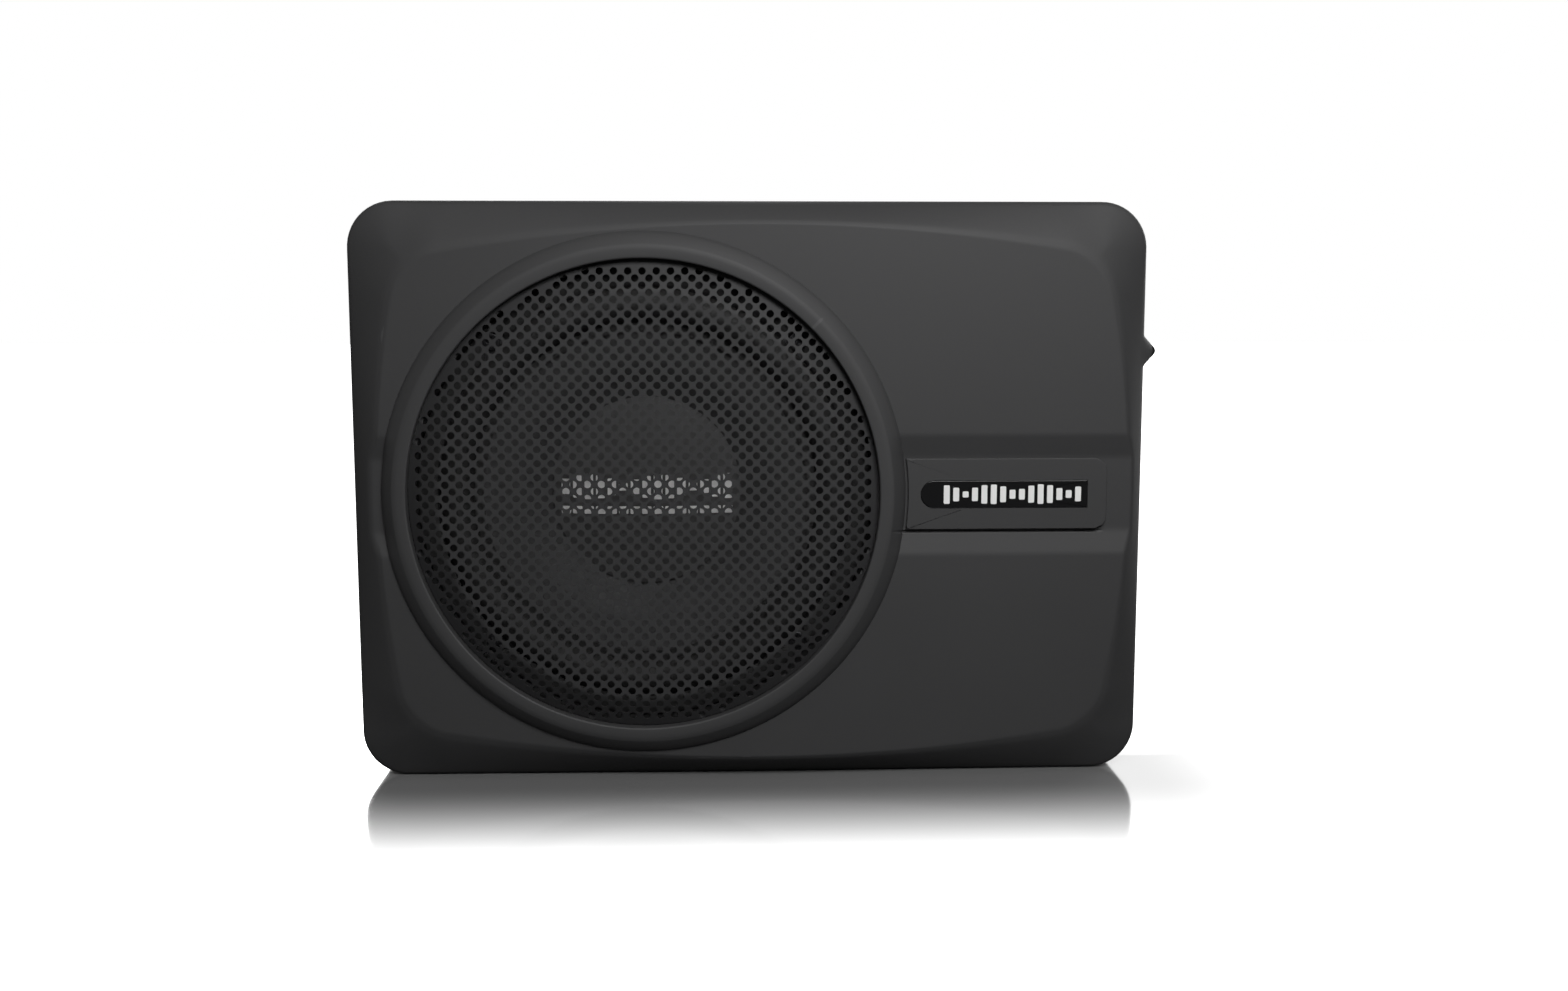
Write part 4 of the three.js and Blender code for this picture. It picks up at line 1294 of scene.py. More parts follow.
@dataclass
class Screw:
    """A pan-head screw with a cross recess and a shank."""

    head: float = 3.9
    height: float = 2.0
    recess: float = 2.1
    slot: float = 0.5
    depth: float = 1.1

    def shape(self, length: float) -> Shape:
        """The screw standing on its head's seat: shank below zero, head above.

        The recess is a cross: its depth fades over a fifth of a millimetre at its edges.

        Args:
            length: Length of the shank.

        Returns:
            The screw, along h.
        """
        rim = filleted([(0.3, -length, 0), (1.5, -length, 0), (1.9, -length + 0.7, 0.3), (1.9, 0, 0),
                        (self.head, 0, 0.1), (self.head, self.height, 1.1), (2.6, self.height, 0)])
        crown = np.column_stack([np.linspace(2.5, 0.15, 13), np.full(13, self.height)])

        def recessed(points: Array) -> Array:
            across = np.minimum(np.abs(points[:, 0]), np.abs(points[:, 1]))
            reach = np.hypot(points[:, 0], points[:, 1])
            cross = smooth_step((self.slot + 0.2 - across) / 0.2) * smooth_step((self.recess + 0.2 - reach)
                                                                                / 0.2)
            sunk = cross * self.depth * (points[:, 2] > self.height - 0.3)
            return points - np.column_stack([0 * sunk, 0 * sunk, sunk])

        return turned(np.concatenate([rim, crown]), 48).bent(recessed)

    def build(self, node: str, forward: bool, finish: Finish) -> None:
        """Makes the screw in place of a CAD screw.

        Args:
            node: The CAD screw.
            forward: Whether its head faces the listener.
            finish: Its finish.
        """
        low, high = cabinet_box(node)
        length = high[2] - low[2] - self.height
        shape = self.shape(length)
        if forward:
            seat = high[2] - self.height
        else:
            shape = shape.bent(lambda points: points * [1, -1, -1])
            seat = low[2] + self.height
        middle = (low + high) / 2
        make(Piece(f"{node}_cross_head", Body.HOUSING, (node,)), shape.moved(middle[0], middle[1], seat),
             finish)


# The driver.


@dataclass
class Driver:
    """The shallow 8 inch driver: motor, suspension and cone, all turned about one axis."""

    cap_radius: float = 41.5
    cap_top: float = 47.4
    cap_fall: float = 4.3
    roll: float = 82.0
    roll_radius: float = 7.0
    roll_base: float = 52.6
    cone_edge: float = 75.0
    spider: tuple[float, float] = (27.2, 64.0)
    spider_waves: tuple[float, float] = (28.0, 56.0)
    spider_level: float = 31.2
    spider_depth: float = 0.85
    spider_pitch: float = 6.4
    spider_held: tuple[float, float] = (56.0, 29.0)

    def dome(self, radius: Array) -> Array:
        """Height of the dust cap: it falls as the square of the way out."""
        return self.cap_top - self.cap_fall * (radius / self.cap_radius) ** 2

    def turned_piece(self, piece: Piece, profile: Array, finish: Finish, closed: bool = True,
                     sides: int = 160) -> bpy.types.Object:
        """Makes one piece turned about the driver's axis."""
        return make(piece, turned(profile, sides, DRIVER_X, 0, closed), finish)

    def flexing(self, piece: bpy.types.Object, fixed: float, moving: float) -> None:
        """Bakes a piece's placement into its mesh and reads its points; it sets up no bending.

        Args:
            piece: The piece.
            fixed: Radius at which it would follow the housing; not used.
            moving: Radius at which it would follow the cone; not used.
        """
        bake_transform(piece)
        places = np.empty(3 * len(piece.data.vertices))
        piece.data.vertices.foreach_get("co", places)

    def suspension(self) -> None:
        """Makes the half-roll surround and the corrugated spider."""
        turn = np.linspace(0, np.pi, 22)
        base, radius = self.roll_base, self.roll_radius
        under = np.column_stack([self.roll - (radius - 0.45) * np.cos(turn),
                                 base + (radius - 0.45) * np.sin(turn)])
        over = np.column_stack([self.roll + (radius + 0.45) * np.cos(turn),
                                base + 1 + (radius + 0.2) * np.sin(turn)])
        lips = [[(70.5, base)], under, [(89.6, base), (89.6, base + 1)], over, [(70.5, base + 1)]]
        surround = self.turned_piece(Piece("rubber_surround", None, ("surround",)), np.concatenate(lips),
                                     RUBBER_BLACK, sides=200)
        self.flexing(surround, self.roll + radius, self.cone_edge)
        radii = np.linspace(*self.spider, 75)
        first, last = self.spider_waves
        fade = smooth_step((radii - first) / 4) * smooth_step((last - radii) / 4)
        swell = self.spider_depth * np.sin(2 * np.pi * (radii - first) / self.spider_pitch)
        wave = self.spider_level + swell * fade
        ribbon = np.concatenate([np.column_stack([radii, wave]),
                                 np.column_stack([radii, wave + 0.6])[::-1]])
        spider = self.turned_piece(Piece("corrugated_spider", None, ("spider",)), ribbon, SPIDER_CLOTH)
        self.flexing(spider, *self.spider_held)

    def diaphragm(self) -> None:
        """Makes the cone, the dust cap with its printed bars, and the voice coil on its former."""
        cone = filleted([(25.8, 34.2, 0), (43.5, 41.1, 3), (55.5, 48.3, 4), (71.3, 51.1, 3), (75, 51.1, 0),
                         (75, 52.3, 0), (71, 52.3, 3), (55, 49.5, 4), (43, 42.3, 3), (25.8, 35.6, 0)], 7,
                        True)
        self.turned_piece(Piece("pulp_cone", Body.CONE, ("cone",)), cone, CONE_BLACK)
        out = np.linspace(0.4, self.cap_radius, 40)
        under = np.column_stack([out, self.dome(out) - 1])
        over = np.column_stack([out, self.dome(out)])[::-1]
        self.turned_piece(Piece("shallow_dust_cap", Body.CONE, ("dust_cap",)),
                          np.concatenate([under, over]), CAP_BLACK, closed=False)
        make(Piece("dust_cap_print", Body.CONE), self.printed_bars(), CAP_INK)
        coil = filleted([(25.8, 15, 0.2), (26.8, 15, 0.2), (26.8, 26, 0.2), (25.8, 26, 0.2)], 3, True)
        self.turned_piece(Piece("copper_voice_coil", Body.CONE, ("voice_coil",)), coil, COPPER)
        former = filleted([(24.9, 14.8, 0), (25.5, 14.8, 0), (25.5, 37.5, 0), (24.9, 37.5, 0)], 3, True)
        self.turned_piece(Piece("coil_former", Body.CONE, ("voice_coil_former",)), former, ALUMINIUM)

    def printed_bars(self) -> Shape:
        """Two rows of plain bars on the dust cap: tall level bars above, and short dashes below them."""
        bars = []
        for i in range(15):
            way = i / 14
            half = 1.4 + 4.2 * abs(np.sin(2.3 * np.pi * way + 0.5))
            for middle, tall, wide in ((2.0, half, 1.9), (-8.4, 1.7, 2.1)):
                outline = rounded_rectangle(wide, tall, 0.5, 4)
                bar = plated(outline, edged(0, 0.15, 0.05, 0.02)).moved((i - 7) * 5.1, middle)
                bars.append(bar)

        def laid(points: Array) -> Array:
            radius = np.hypot(points[:, 0], points[:, 1])
            return points + np.column_stack([np.full(len(points), DRIVER_X), 0 * radius, self.dome(radius)])

        return joined(bars).bent(laid)

    def motor(self) -> None:
        """Makes the top plate, the magnet and the yoke, with broken edges."""
        top = filleted([(27.6, 20.4, 0.3), (56, 20.4, 0.6), (56, 26.3, 0.8), (27.6, 26.3, 0.3)], 4, True)
        self.turned_piece(Piece("steel_top_plate", Body.HOUSING, ("top_plate",)), top, BARE_STEEL)
        ring = filleted([(31, 9.4, 0.8), (62, 9.4, 1.2), (62, 20.1, 1.2), (31, 20.1, 0.8)], 4, True)
        self.turned_piece(Piece("ferrite_ring", Body.HOUSING, ("magnet",)), ring, FERRITE)
        yoke = filleted([(5, 5.6, 0.5), (56, 5.6, 0.8), (56, 9.1, 0.6), (24.2, 9.1, 0.4), (24.2, 26.3, 1.0),
                         (5, 26.3, 0.5)], 4, True)
        self.turned_piece(Piece("pole_and_back_plate", Body.HOUSING, ("yoke",)), yoke, BARE_STEEL)

    def leads(self) -> None:
        """Makes the two braided leads that loop from the terminal strip to the cone."""
        for i in (1, 2):
            low, high = cabinet_box(f"tinsel_lead_{i}")
            v = (low[1] + high[1]) / 2
            tag = high[0]
            route = [(tag, v, 39), (tag - 8, v, 36.2), (tag - 20, v, 36), (tag - 30, v, 40),
                     (DRIVER_X + 47.2, v, 42.2)]
            lead = make(Piece(f"braided_lead_{i}", None, (f"tinsel_lead_{i}",)),
                        tube(np.array(route, float), 0.75, 40), COPPER)
            self.flexing(lead, 80, 52)

    def gasket(self) -> Shape:
        """The foam ring on the frame's rim, drawn in round each screw by a narrow bell curve."""
        section = filleted([(0, 53.9, 0), (1, 53.9, 0.3), (1, 55.4, 0.5), (0, 55.4, 0.5)], 4, True)
        angle = np.linspace(0, 2 * np.pi, 240, endpoint=False)
        from_screw = (angle + np.pi / 4) % (np.pi / 2)
        from_screw = np.minimum(from_screw, np.pi / 2 - from_screw)
        inner = 90.2 + 7.6 * np.exp(-((from_screw * 93.2 / 4.6) ** 4))
        radius = inner[None] + (98.5 - inner[None]) * section[:, :1]
        loops = np.stack([DRIVER_X + radius * np.cos(angle), radius * np.sin(angle),
                          section[:, 1:] + 0 * radius], -1)
        return skinned(loops, closed=True)

    def build(self) -> None:
        """Makes the whole driver."""
        self.suspension()
        self.diaphragm()
        self.motor()
        self.leads()
        make(Piece("foam_gasket", Body.HOUSING, ("frame_gasket",)), self.gasket(), RUBBER_BLACK)
        for i in range(1, 5):
            Screw().build(f"driver_screw_{i}", True, BLACK_STEEL)
        BLACK_STEEL.dress("driver_frame")
        PLASTIC_BLACK.dress("terminal_strip")


# The amplifier.


@dataclass
class Amplifier:
    """The amplifier inside the right-hand end: its board and the parts that stand on it."""

    def cans(self) -> None:
        """Makes the two reservoir capacitors: a sleeved can with a rolled neck and a bare top."""
        for i in (1, 2):
            low, high = cabinet_box(f"capacitor_{i}")
            x, v, _ = (low + high) / 2
            radius = (high[0] - low[0]) / 2
            wall = filleted([(0.4, low[2], 0), (radius, low[2], 0.6), (radius, low[2] + 2.2, 0.5),
                             (radius - 0.7, low[2] + 3, 0.5), (radius, low[2] + 3.8, 0.5),
                             (radius, high[2], 1.2),
                             (radius - 2, high[2] - 0.1, 0.2), (radius - 2.3, high[2] - 0.4, 0.2),
                             (0.4, high[2] - 0.4, 0)])
            make(Piece(f"reservoir_capacitor_{i}", Body.HOUSING, (f"capacitor_{i}",)),
                 turned(wall, 64, x, v), PLASTIC_BLACK)

    def choke(self) -> Shape:
        """The toroid: a ring whose section swells and narrows with each turn of its wire."""
        low, high = cabinet_box("toroid_choke")
        x, v, h = (low + high) / 2
        section = (high[2] - low[2]) / 2
        middle = (high[0] - low[0]) / 2 - section
        around, across = np.linspace(0, 2 * np.pi, 360, endpoint=False), np.linspace(0, 2 * np.pi, 24,
                                                                                     endpoint=False)
        ripple = 1 - 0.05 * (0.5 + 0.5 * np.cos(48 * around[None] + 2 * across[:, None]))
        radius = middle + section * ripple * np.cos(across[:, None])
        height = h + section * ripple * np.sin(across[:, None])
        loops = np.stack([x + radius * np.cos(around), v + radius * np.sin(around), height], -1)
        return skinned(loops, closed=True)

    def build(self) -> None:
        """Makes the parts and dresses the board."""
        self.cans()
        make(Piece("wound_choke", Body.HOUSING, ("toroid_choke",)), self.choke(), COPPER)
        low, high = cabinet_box("speaker_harness")
        route = np.array([(high[0] - 1.4, -8, low[2] + 2.1), (70, -7, 22), (60, -6, 32), (52, -2, 35.5),
                          (low[0] + 0.4, 0, 34.2)])
        make(Piece("sheathed_speaker_wire", Body.HOUSING, ("speaker_harness",)), tube(route, 1.9, 48),
             RUBBER_BLACK)
        BOARD_GREEN.dress("circuit_board")
        ALUMINIUM.dress("heat_spreader")
        PLASTIC_BLACK.dress("power_transistor_1", "power_transistor_2")


# The connector end.


@dataclass
class Socket:
    """A rectangular socket in the end wall: an open box with a rounded mouth and contacts inside."""

    node: str
    wall_v: float
    wall_h: float
    deep: float
    pins: tuple[int, int]
    pin_half: tuple[float, float]

    def build(self) -> None:
        """Makes the moulding and its contacts."""
        low, high = cabinet_box(self.node)
        half_v, half_h = (high[1] - low[1]) / 2, (high[2] - low[2]) / 2
        outer = rounded_rectangle(half_v, half_h, 0.9)
        inner = rounded_rectangle(half_v - self.wall_v, half_h - self.wall_h, 0.5)
        front, floor = high[0], high[0] - self.deep
        rings = [(outer, low[0]), (outer, front - 0.4), (inset(outer, 0.12), front - 0.12),
                 (inset(outer, 0.4), front),
                 (inset(inner, -0.3), front), (inner, front - 0.4), (inner, floor)]
        loops = np.array([level(line, x) for line, x in rings])
        middle = (low + high) / 2
        body = skinned(loops).at_end(middle)
        make(Piece(f"{self.node}_moulding", Body.HOUSING, (self.node,)), body, PLASTIC_BLACK)
        across, up = self.pins
        contacts = []
        for i in range(across * up):
            a = (i % across - (across - 1) / 2) * (2 * (half_v - self.wall_v) / across)
            b = (i // across - (up - 1) / 2) * (2 * (half_h - self.wall_h) / up)
            pin = plated(rounded_rectangle(*self.pin_half, 0.12, 3),
                         edged(floor - 0.5, floor + 0.7 * self.deep, 0.12, 0.05))
            pin = pin.facing_right().moved(0, middle[1] + a, middle[2] + b)
            contacts.append(pin)
        make(Piece(f"{self.node}_contacts", Body.HOUSING), joined(contacts), BRASS)


@dataclass
class Knob:
    """A small knurled control knob with a screwdriver slot and a pointer."""

    name: str
    body: Body
    ridges: int = 22

    def build(self) -> None:
        """Makes the knob, its pointer and the scale round it."""
        low, high = cabinet_box(f"{self.name}_knob")
        middle = (low + high) / 2
        radius, front = (high[1] - low[1]) / 2, high[0]
        side = filleted([(0.3, low[0], 0), (3, low[0], 0), (3, 166.9, 0), (radius, 167.2, 0.3),
                         (radius, front, 0.8), (3.4, front, 0)], 6)
        crown = np.column_stack([np.linspace(3.2, 0.15, 14), np.full(14, front)])

        def finished(points: Array) -> Array:
            a, b, c = points.T
            reach = np.hypot(a, b)
            ribs = 0.5 + 0.5 * np.cos(self.ridges * np.arctan2(b, a))
            knurl = 1 - 0.045 * ribs * smooth_step((reach - 3.4) / 0.8)
            slot = smooth_step((0.72 - np.abs(b)) / 0.25) * smooth_step((3.4 - reach) / 0.4)
            sunk = 0.8 * slot * (c > front - 0.3)
            return np.column_stack([a * knurl, b * knurl, c - sunk])

        shape = turned(np.concatenate([side, crown]), 132).bent(finished).facing_right()
        make(Piece(f"{self.name}_knurled_knob", self.body, (f"{self.name}_knob",)),
             shape.moved(0, middle[1], middle[2]), PLASTIC_BLACK)
        pointer = plated(rounded_rectangle(0.42, 0.22, 0.15, 4), edged(front, front + 0.08, 0.02, 0.02))
        pointer = pointer.facing_right().moved(0, middle[1] + 3.7, middle[2])
        make(Piece(f"{self.name}_pointer", self.body), pointer, INK_WHITE)
        make(Piece(f"{self.name}_scale", Body.HOUSING), self.scale(middle), INK_WHITE)

    def scale(self, middle: Array) -> Shape:
        """Eleven dots on an arc of 300 degrees round the knob, growing from low to high."""
        face = cabinet_box("connector_panel")[1][0]
        dots = []
        for i in range(11):
            turn = np.radians(240 - 30 * i)
            size = 0.22 + 0.018 * i
            dot = turned(np.array([(0.05, 0), (size, 0), (size, 0.07), (0.05, 0.07)]), 12)
            dot = dot.facing_right().moved(face, middle[1] + 6.3 * np.cos(turn),
                                           middle[2] + 6.3 * np.sin(turn))
            dots.append(dot)
        return joined(dots)


@dataclass
class ConnectorEnd:
    """The panel in the right-hand wall, with its sockets, knobs, switch, fuse and lamp."""

    def rca_pair(self) -> None:
        """Makes the two coaxial input sockets: a block, two plated sleeves and coloured insulators."""
        low, high = cabinet_box("rca_input")
        middle = (low + high) / 2
        front, face = high[0], cabinet_box("connector_panel")[0][0]
        half_v, half_h = (high[1] - low[1]) / 2, (high[2] - low[2]) / 2
        block = plated(rounded_rectangle(half_v, half_h, 0.8), edged(low[0], face - 0.3, 0.4))
        make(Piece("rca_block", Body.HOUSING, ("rca_input",)),
             block.at_end(middle), PLASTIC_BLACK)
        for h, name, finish in ((34.5, "red", PLUG_RED), (19.5, "white", PLUG_WHITE)):
            sleeve = filleted([(3.45, face - 1, 0), (4.2, face - 1, 0), (4.2, front, 0.25),
                               (3.45, front, 0.25)], 4, True)
            skirt = filleted([(1.5, face - 1, 0), (3.5, face - 1, 0), (3.5, front - 1.2, 0.3),
                              (1.5, front - 1.2, 0.3)], 4, True)
            for label, profile, dressed in (("sleeve", sleeve, BARE_STEEL), ("insulator", skirt, finish)):
                shape = turned(profile, 72, closed=True).facing_right().moved(0, middle[1], h)
                make(Piece(f"rca_{name}_{label}", Body.HOUSING), shape, dressed)

    def switch(self) -> None:
        """Makes the phase switch's slider: a rounded nub with three grip ridges across it."""
        low, high = cabinet_box("phase_slider")
        middle, half = (low + high) / 2, (high - low) / 2
        front = high[0]

        def ridged(points: Array) -> Array:
            wave = 0.5 + 0.5 * np.cos(points[:, 0] / half[1] * 3 * np.pi)
            ridge = 0.3 * wave * (points[:, 2] > front - 0.3)
            return points - np.column_stack([0 * ridge, 0 * ridge, ridge])

        outline = rounded_rectangle(half[1], half[2], 0.35, 5)
        rim = edged(low[0], front, 0.25)
        loops = [level(inset(outline, d), h) for d, h in rim]
        base = loops[-1]
        loops += [base * [s, s, 1] for s in (0.8, 0.6, 0.4, 0.2)]
        nub = skinned(np.array(loops)).bent(ridged).at_end(middle)
        make(Piece("phase_nub", Body.PHASE, ("phase_slider",)), nub, PLASTIC_BLACK)
        BARE_STEEL.dress("phase_switch")

    def fuse(self) -> None:
        """Makes the blade fuse, with its stepped tinted body and two plated blades, and its holder."""
        low, high = cabinet_box("blade_fuse")
        middle = (low + high) / 2
        half_v, half_h = (high[1] - low[1]) / 2, (high[2] - low[2]) / 2
        body = plated(rounded_rectangle(half_v, half_h, 0.8), edged(160, high[0] - 2.4, 0.5))
        ridge = plated(rounded_rectangle(half_v - 0.7, half_h - 0.8, 0.6), edged(high[0] - 3, high[0], 0.5))
        shape = (body + ridge).at_end(middle)
        make(Piece("tinted_blade_fuse", Body.FUSE, ("blade_fuse",)), shape, FUSE_BLUE)
        blade = plated(rounded_rectangle(0.38, 2.6, 0.2, 4), edged(low[0], 161, 0.12, 0.05))
        pair = blade.moved(0, -6.2) + blade.moved(0, 6.2)
        make(Piece("fuse_blades", Body.FUSE), pair.at_end(middle),
             BARE_STEEL)
        holder_low, holder_high = cabinet_box("fuse_holder")
        outer = rounded_rectangle((holder_high[1] - holder_low[1]) / 2,
                                  (holder_high[2] - holder_low[2]) / 2, 1.0)
        inner = rounded_rectangle(half_v + 0.3, half_h + 0.3, 0.8)
        front = holder_high[0]
        rings = [(outer, holder_low[0]), (outer, front - 0.4), (inset(outer, 0.4), front),
                 (inset(inner, -0.3), front), (inner, front - 0.3), (inner, 153)]
        loops = np.array([level(line, x) for line, x in rings])
        holder = skinned(loops).at_end(middle)
        make(Piece("fuse_holder_moulding", Body.HOUSING, ("fuse_holder",)), holder, PLASTIC_BLACK)

    def lamp(self) -> None:
        """Makes the power lamp: a domed lens."""
        low, high = cabinet_box("power_led")
        middle = (low + high) / 2
        turn = np.linspace(0, np.pi / 2 - 0.06, 10)
        radius = (high[1] - low[1]) / 2
        dome = np.column_stack([radius * np.cos(turn), high[0] - radius + radius * np.sin(turn)])
        profile = np.concatenate([[(0.2, low[0]), (radius, low[0])], dome])
        lens = turned(profile, 32).at_end(middle)
        make(Piece("power_lamp_lens", Body.HOUSING, ("power_led",)), lens, LAMP_RED)

    def build(self) -> None:
        """Makes everything at the end wall."""
        Socket("remote_jack", 1.6, 2.6, 12, (4, 1), (0.3, 0.3)).build()
        Socket("high_level_socket", 1.4, 1.4, 12, (2, 2), (0.45, 0.45)).build()
        Socket("power_socket", 1.6, 1.6, 13, (2, 2), (1.2, 0.4)).build()
        for name, body in (("gain", Body.GAIN), ("lowpass", Body.LOWPASS), ("boost", Body.BOOST)):
            Knob(name, body).build()
            PLASTIC_BLACK.dress(f"{name}_control")
        self.rca_pair()
        self.switch()
        self.fuse()
        self.lamp()
        PLASTIC_BLACK.dress("connector_panel")


# The back.


@dataclass
class Back:
    """The pressed rear cover, its seal, screws and feet."""

    bead: float = 0.8
    ring_bead: float = 88.0
    bead_half_width: float = 4.0
    amp_bead: tuple[float, float, float] = (108.0, 46.0, 70.0)

    def pressed(self, x: Array, v: Array) -> Array:
        """Height of the pressed beads: one round the driver and one round the amplifier.

        Each bead's section is a raised cosine of the distance from its centre line.
        """
        middle, half_x, half_v = self.amp_bead
        ring = np.abs(np.hypot(x - DRIVER_X, v) - self.ring_bead)
        frame_line = np.abs(rounded_depth(half_x - np.abs(x - middle), half_v - np.abs(v), 14))
        near = np.minimum(ring, frame_line) / self.bead_half_width
        return self.bead * (0.5 + 0.5 * np.cos(np.pi * np.clip(near, 0, 1)))

    def cover(self) -> Shape:
        """The cover: from the middle of its back, over the beads, round its edge and across its front."""
        low, high = cabinet_box("rear_cover")
        outline = resampled(rounded_rectangle(high[0], high[1], 19.2, 12), 480)
        loops = []
        for way in np.linspace(0.01, 0.985, 110):
            line = outline * way
            loops.append(np.column_stack([line, low[2] - self.pressed(*line.T)]))
        for d, h in filleted([(2.0, low[2], 0), (0, low[2], 0.7), (0, high[2], 0.3), (2, high[2], 0)], 5):
            loops.append(level(inset(outline, d), h))
        return skinned(np.array(loops))

    def foot(self, node: str) -> None:
        """Makes one rubber foot: a low drum with a rounded tread and a dished middle."""
        low, high = cabinet_box(node)
        x, v, _ = (low + high) / 2
        radius = (high[0] - low[0]) / 2
        profile = filleted([(0.3, 0.9, 0), (4.5, 0.9, 0.4), (5.2, 0, 0.5), (radius - 1.2, 0, 1.0),
                            (radius, 1.4, 0.6), (radius, high[2], 0), (0.3, high[2], 0)], 6)
        make(Piece(f"{node}_tread", Body.HOUSING, (node,)), turned(profile, 64, x, v), RUBBER_BLACK)

    def seal(self) -> Shape:
        """The foam seal between cover and casting."""
        low, high = cabinet_box("cover_gasket")
        outline = resampled(rounded_rectangle(high[0], high[1], 18.6, 12), 360)
        section = [(5.5, low[2]), (0, low[2]), (0, high[2]), (5.5, high[2])]
        loops = [level(inset(outline, d), h) for d, h in section]
        return skinned(np.array(loops), closed=True)

    def build(self) -> None:
        """Makes the whole back."""
        make(Piece("pressed_rear_cover", Body.HOUSING, ("rear_cover",)), self.cover(), COVER_BLACK)
        make(Piece("foam_cover_seal", Body.HOUSING, ("cover_gasket",)), self.seal(), RUBBER_BLACK)
        for i in range(1, 5):
            self.foot(f"rubber_foot_{i}")
        for i in range(1, 9):
            Screw().build(f"cover_screw_{i}", False, BLACK_STEEL)


# The studio.


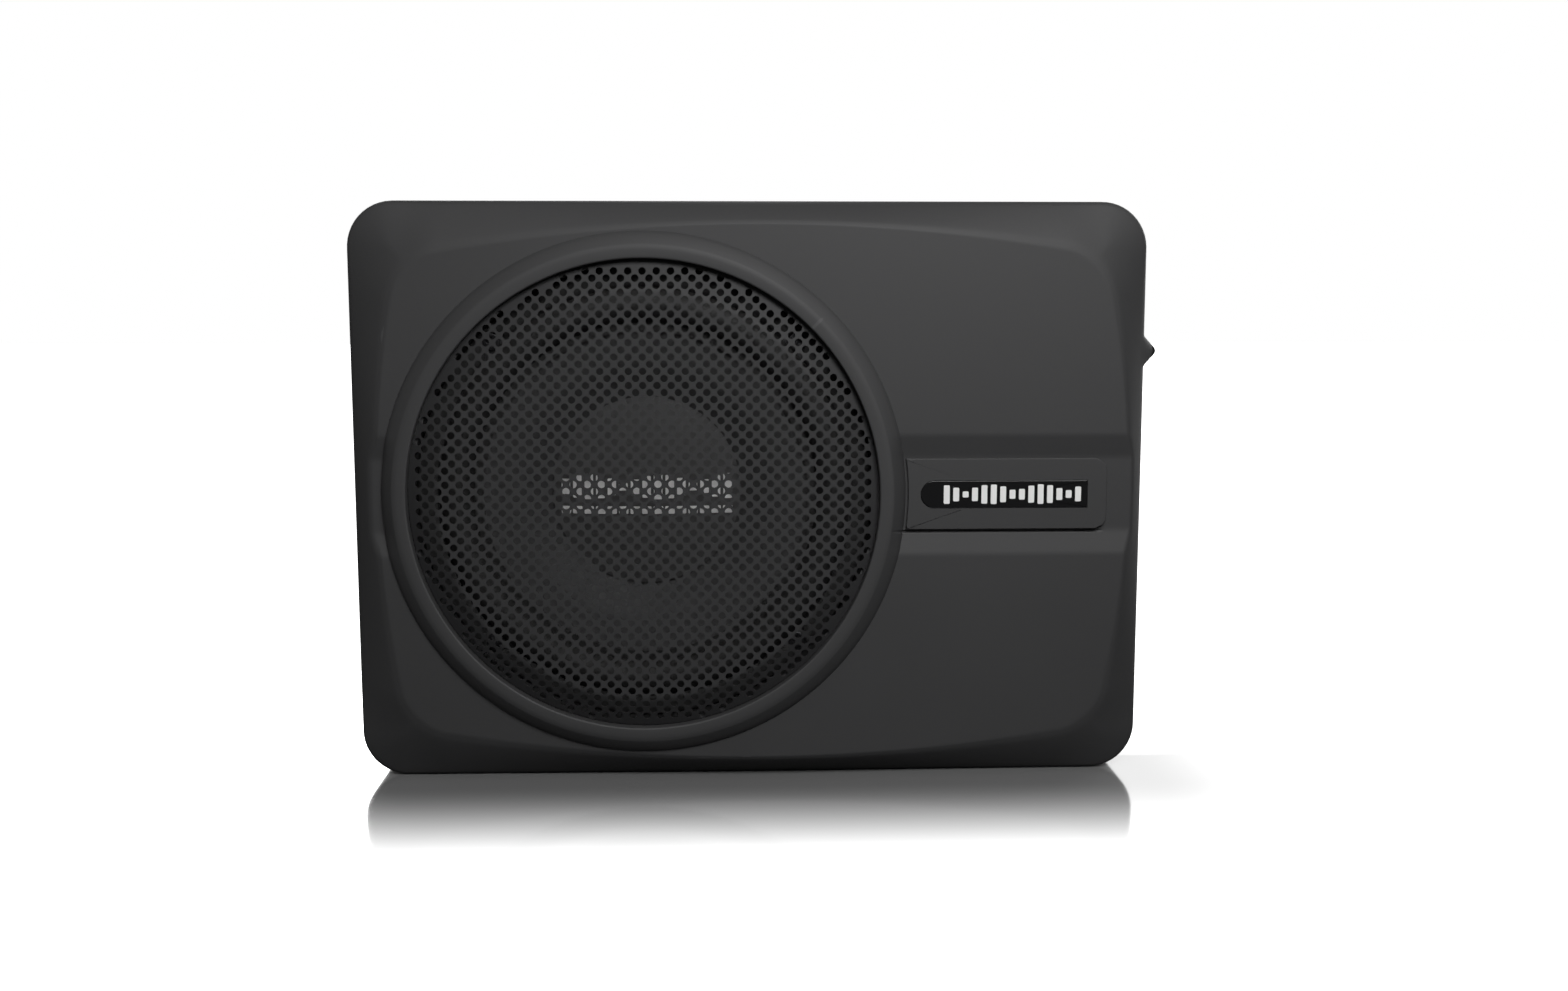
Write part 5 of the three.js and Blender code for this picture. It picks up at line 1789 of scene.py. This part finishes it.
@dataclass
class Studio:
    """A pale floor, soft lights and the camera."""

    lens: float = 36.73
    eye: tuple[float, float, float] = (-0.01206, -0.7135, 0.213)
    gaze: tuple[float, float, float] = (0.0377, 0.9913, -0.1259)
    # Painted light: reflection is the distance, in metres, over which the floor's glow comes in and fades
    # the reflection out; beside_rise sets how fast the glow covers the floor behind the object's middle
    # plane.
    reflection: float = 0.082
    ambient: float = 0.12
    beside_rise: float = 60.0
    backdrop_from: float = 0.7
    backdrop_rise: float = 8.0

    def camera(self) -> None:
        """Stands the camera a little above the middle, looking slightly down and to the right."""
        camera = bpy.data.cameras.new("camera")
        camera.lens = self.lens
        camera.sensor_width = 36.0
        eye = bpy.data.objects.new("camera", camera)
        eye.location = self.eye
        eye.rotation_euler = Vector(self.gaze).to_track_quat("-Z", "Y").to_euler()
        bpy.context.scene.collection.objects.link(eye)
        bpy.context.scene.camera = eye

    def lamp(self, name: str, place: tuple[float, float, float], size: tuple[float, float],
             power: float) -> None:
        """Hangs a rectangular soft light that faces the object.

        Args:
            name: The light's name.
            place: Where it hangs, in metres.
            size: Its width and height, in metres.
            power: Its power, in watts.
        """
        light = bpy.data.lights.new(name, "AREA")
        light.shape = "RECTANGLE"
        light.size, light.size_y = size
        light.energy = power
        hung = bpy.data.objects.new(name, light)
        hung.location = place
        aim = Vector((0, 0, HEIGHT / 2 * MM)) - Vector(place)
        hung.rotation_euler = aim.to_track_quat("-Z", "Y").to_euler()
        bpy.context.scene.collection.objects.link(hung)

    def floor(self) -> None:
        """Lays a pale mirror floor under a painted white glow that only the camera sees. The glow fades in
        with distance from the object's footprint, so the reflection and contact shade show only in a band
        near the front of the object and fade out there as painted light. From just behind the object's
        middle plane back, the glow paints over the reflection entirely. To every ray but the camera's the
        floor is dark, so it bounces little light.
        """
        mesh = bpy.data.meshes.new("studio_floor")
        half = 6.0
        corners = [(-half, -half, 0), (half, -half, 0), (half, half, 0), (-half, half, 0)]
        mesh.from_pydata(corners, [], [(0, 1, 2, 3)])
        material = bpy.data.materials.new("pale floor")
        material.use_nodes = True
        graph = Graph(material.node_tree)
        shader = graph.tree.nodes["Principled BSDF"]
        seen = graph.node("ShaderNodeLightPath").outputs["Is Camera Ray"]
        graph.put(graph.mixed(seen, (0.1, 0.1, 0.1, 1), (0.86, 0.86, 0.86, 1)), shader.inputs["Base Color"])
        shader.inputs["Metallic"].default_value = 0.8
        shader.inputs["Roughness"].default_value = 0.1
        shader.inputs["Emission Color"].default_value = (1, 1, 1, 1)
        position = graph.node("ShaderNodeTexCoord").outputs["Object"]
        # Painted light: the white glow, seen only by the camera, grows as the square of the distance from
        # the footprint and is full from just behind the object's middle plane, so the mirror reflection and
        # contact shade show only near the front and fade out.
        away = graph.math("DIVIDE", self.distance_from_foot(graph, position), self.reflection)
        depth = graph.node("ShaderNodeSeparateXYZ")
        graph.put(position, depth.inputs[0])
        beside = graph.math("MULTIPLY", depth.outputs["Y"], self.beside_rise, clamp=True)
        white = graph.math("MAXIMUM", graph.math("POWER", away, 2.0, clamp=True), beside)
        graph.put(graph.math("MULTIPLY", white, seen), shader.inputs["Emission Strength"])
        mesh.materials.append(material)
        laid = bpy.data.objects.new("studio_floor", mesh)
        bpy.context.scene.collection.objects.link(laid)

    def distance_from_foot(self, graph: Graph, position: bpy.types.NodeSocket) -> bpy.types.NodeSocket:
        """How far a point of the floor lies outside the object's footprint, in metres."""
        folded = graph.node("ShaderNodeVectorMath", operation="ABSOLUTE")
        graph.put(position, folded.inputs[0])
        outside = graph.node("ShaderNodeVectorMath", operation="SUBTRACT")
        graph.put(folded.outputs[0], outside.inputs[0])
        outside.inputs[1].default_value = (WIDTH / 2 * MM, DEPTH / 2 * MM, 0)
        kept = graph.node("ShaderNodeVectorMath", operation="MAXIMUM")
        graph.put(outside.outputs[0], kept.inputs[0])
        length = graph.node("ShaderNodeVectorMath", operation="LENGTH")
        graph.put(kept.outputs[0], length.inputs[0])
        return length.outputs["Value"]

    def sky(self) -> None:
        """Fills the studio with soft light, and hangs a white backdrop behind the object."""
        world = bpy.data.worlds.new("studio")
        world.use_nodes = True
        bpy.context.scene.world = world
        graph = Graph(world.node_tree)
        background = world.node_tree.nodes["Background"]
        background.inputs["Color"].default_value = (1, 1, 1, 1)
        seen = graph.node("ShaderNodeLightPath").outputs["Is Camera Ray"]
        heading = graph.node("ShaderNodeSeparateXYZ")
        graph.put(graph.node("ShaderNodeTexCoord").outputs["Generated"], heading.inputs[0])
        behind = graph.math("SUBTRACT", heading.outputs["Y"], self.backdrop_from)
        behind = graph.math("MULTIPLY", behind, self.backdrop_rise, clamp=True)
        white = graph.math("MAXIMUM", seen, behind)
        strength = graph.math("ADD", graph.math("MULTIPLY", white, 1 - self.ambient), self.ambient)
        graph.put(strength, background.inputs["Strength"])
        bpy.context.scene.view_settings.view_transform = "Standard"

    def build(self) -> None:
        """Sets the whole studio up."""
        self.camera()
        self.floor()
        self.sky()
        self.lamp("key_light", (0.15, -0.59, 0.57), (0.4, 0.3), 5.0)
        self.lamp("left_fill", (-1.2, -0.3, 0.3), (0.7, 0.7), 0.6)
        self.lamp("right_light", (1.2, 1.0, 0.6), (0.8, 0.8), 10.0)
        self.lamp("back_light", (-0.4, 1.3, 0.7), (1.0, 0.8), 13.0)


def main() -> None:
    """Builds the studio and every sub-assembly."""
    logging.basicConfig(level=logging.INFO, format="%(message)s")
    Studio().build()
    for assembly in (Housing(), Grille(), Badge(), Driver(), Amplifier(), ConnectorEnd(), Back()):
        assembly.build()


if __name__ == "__main__":
    main()
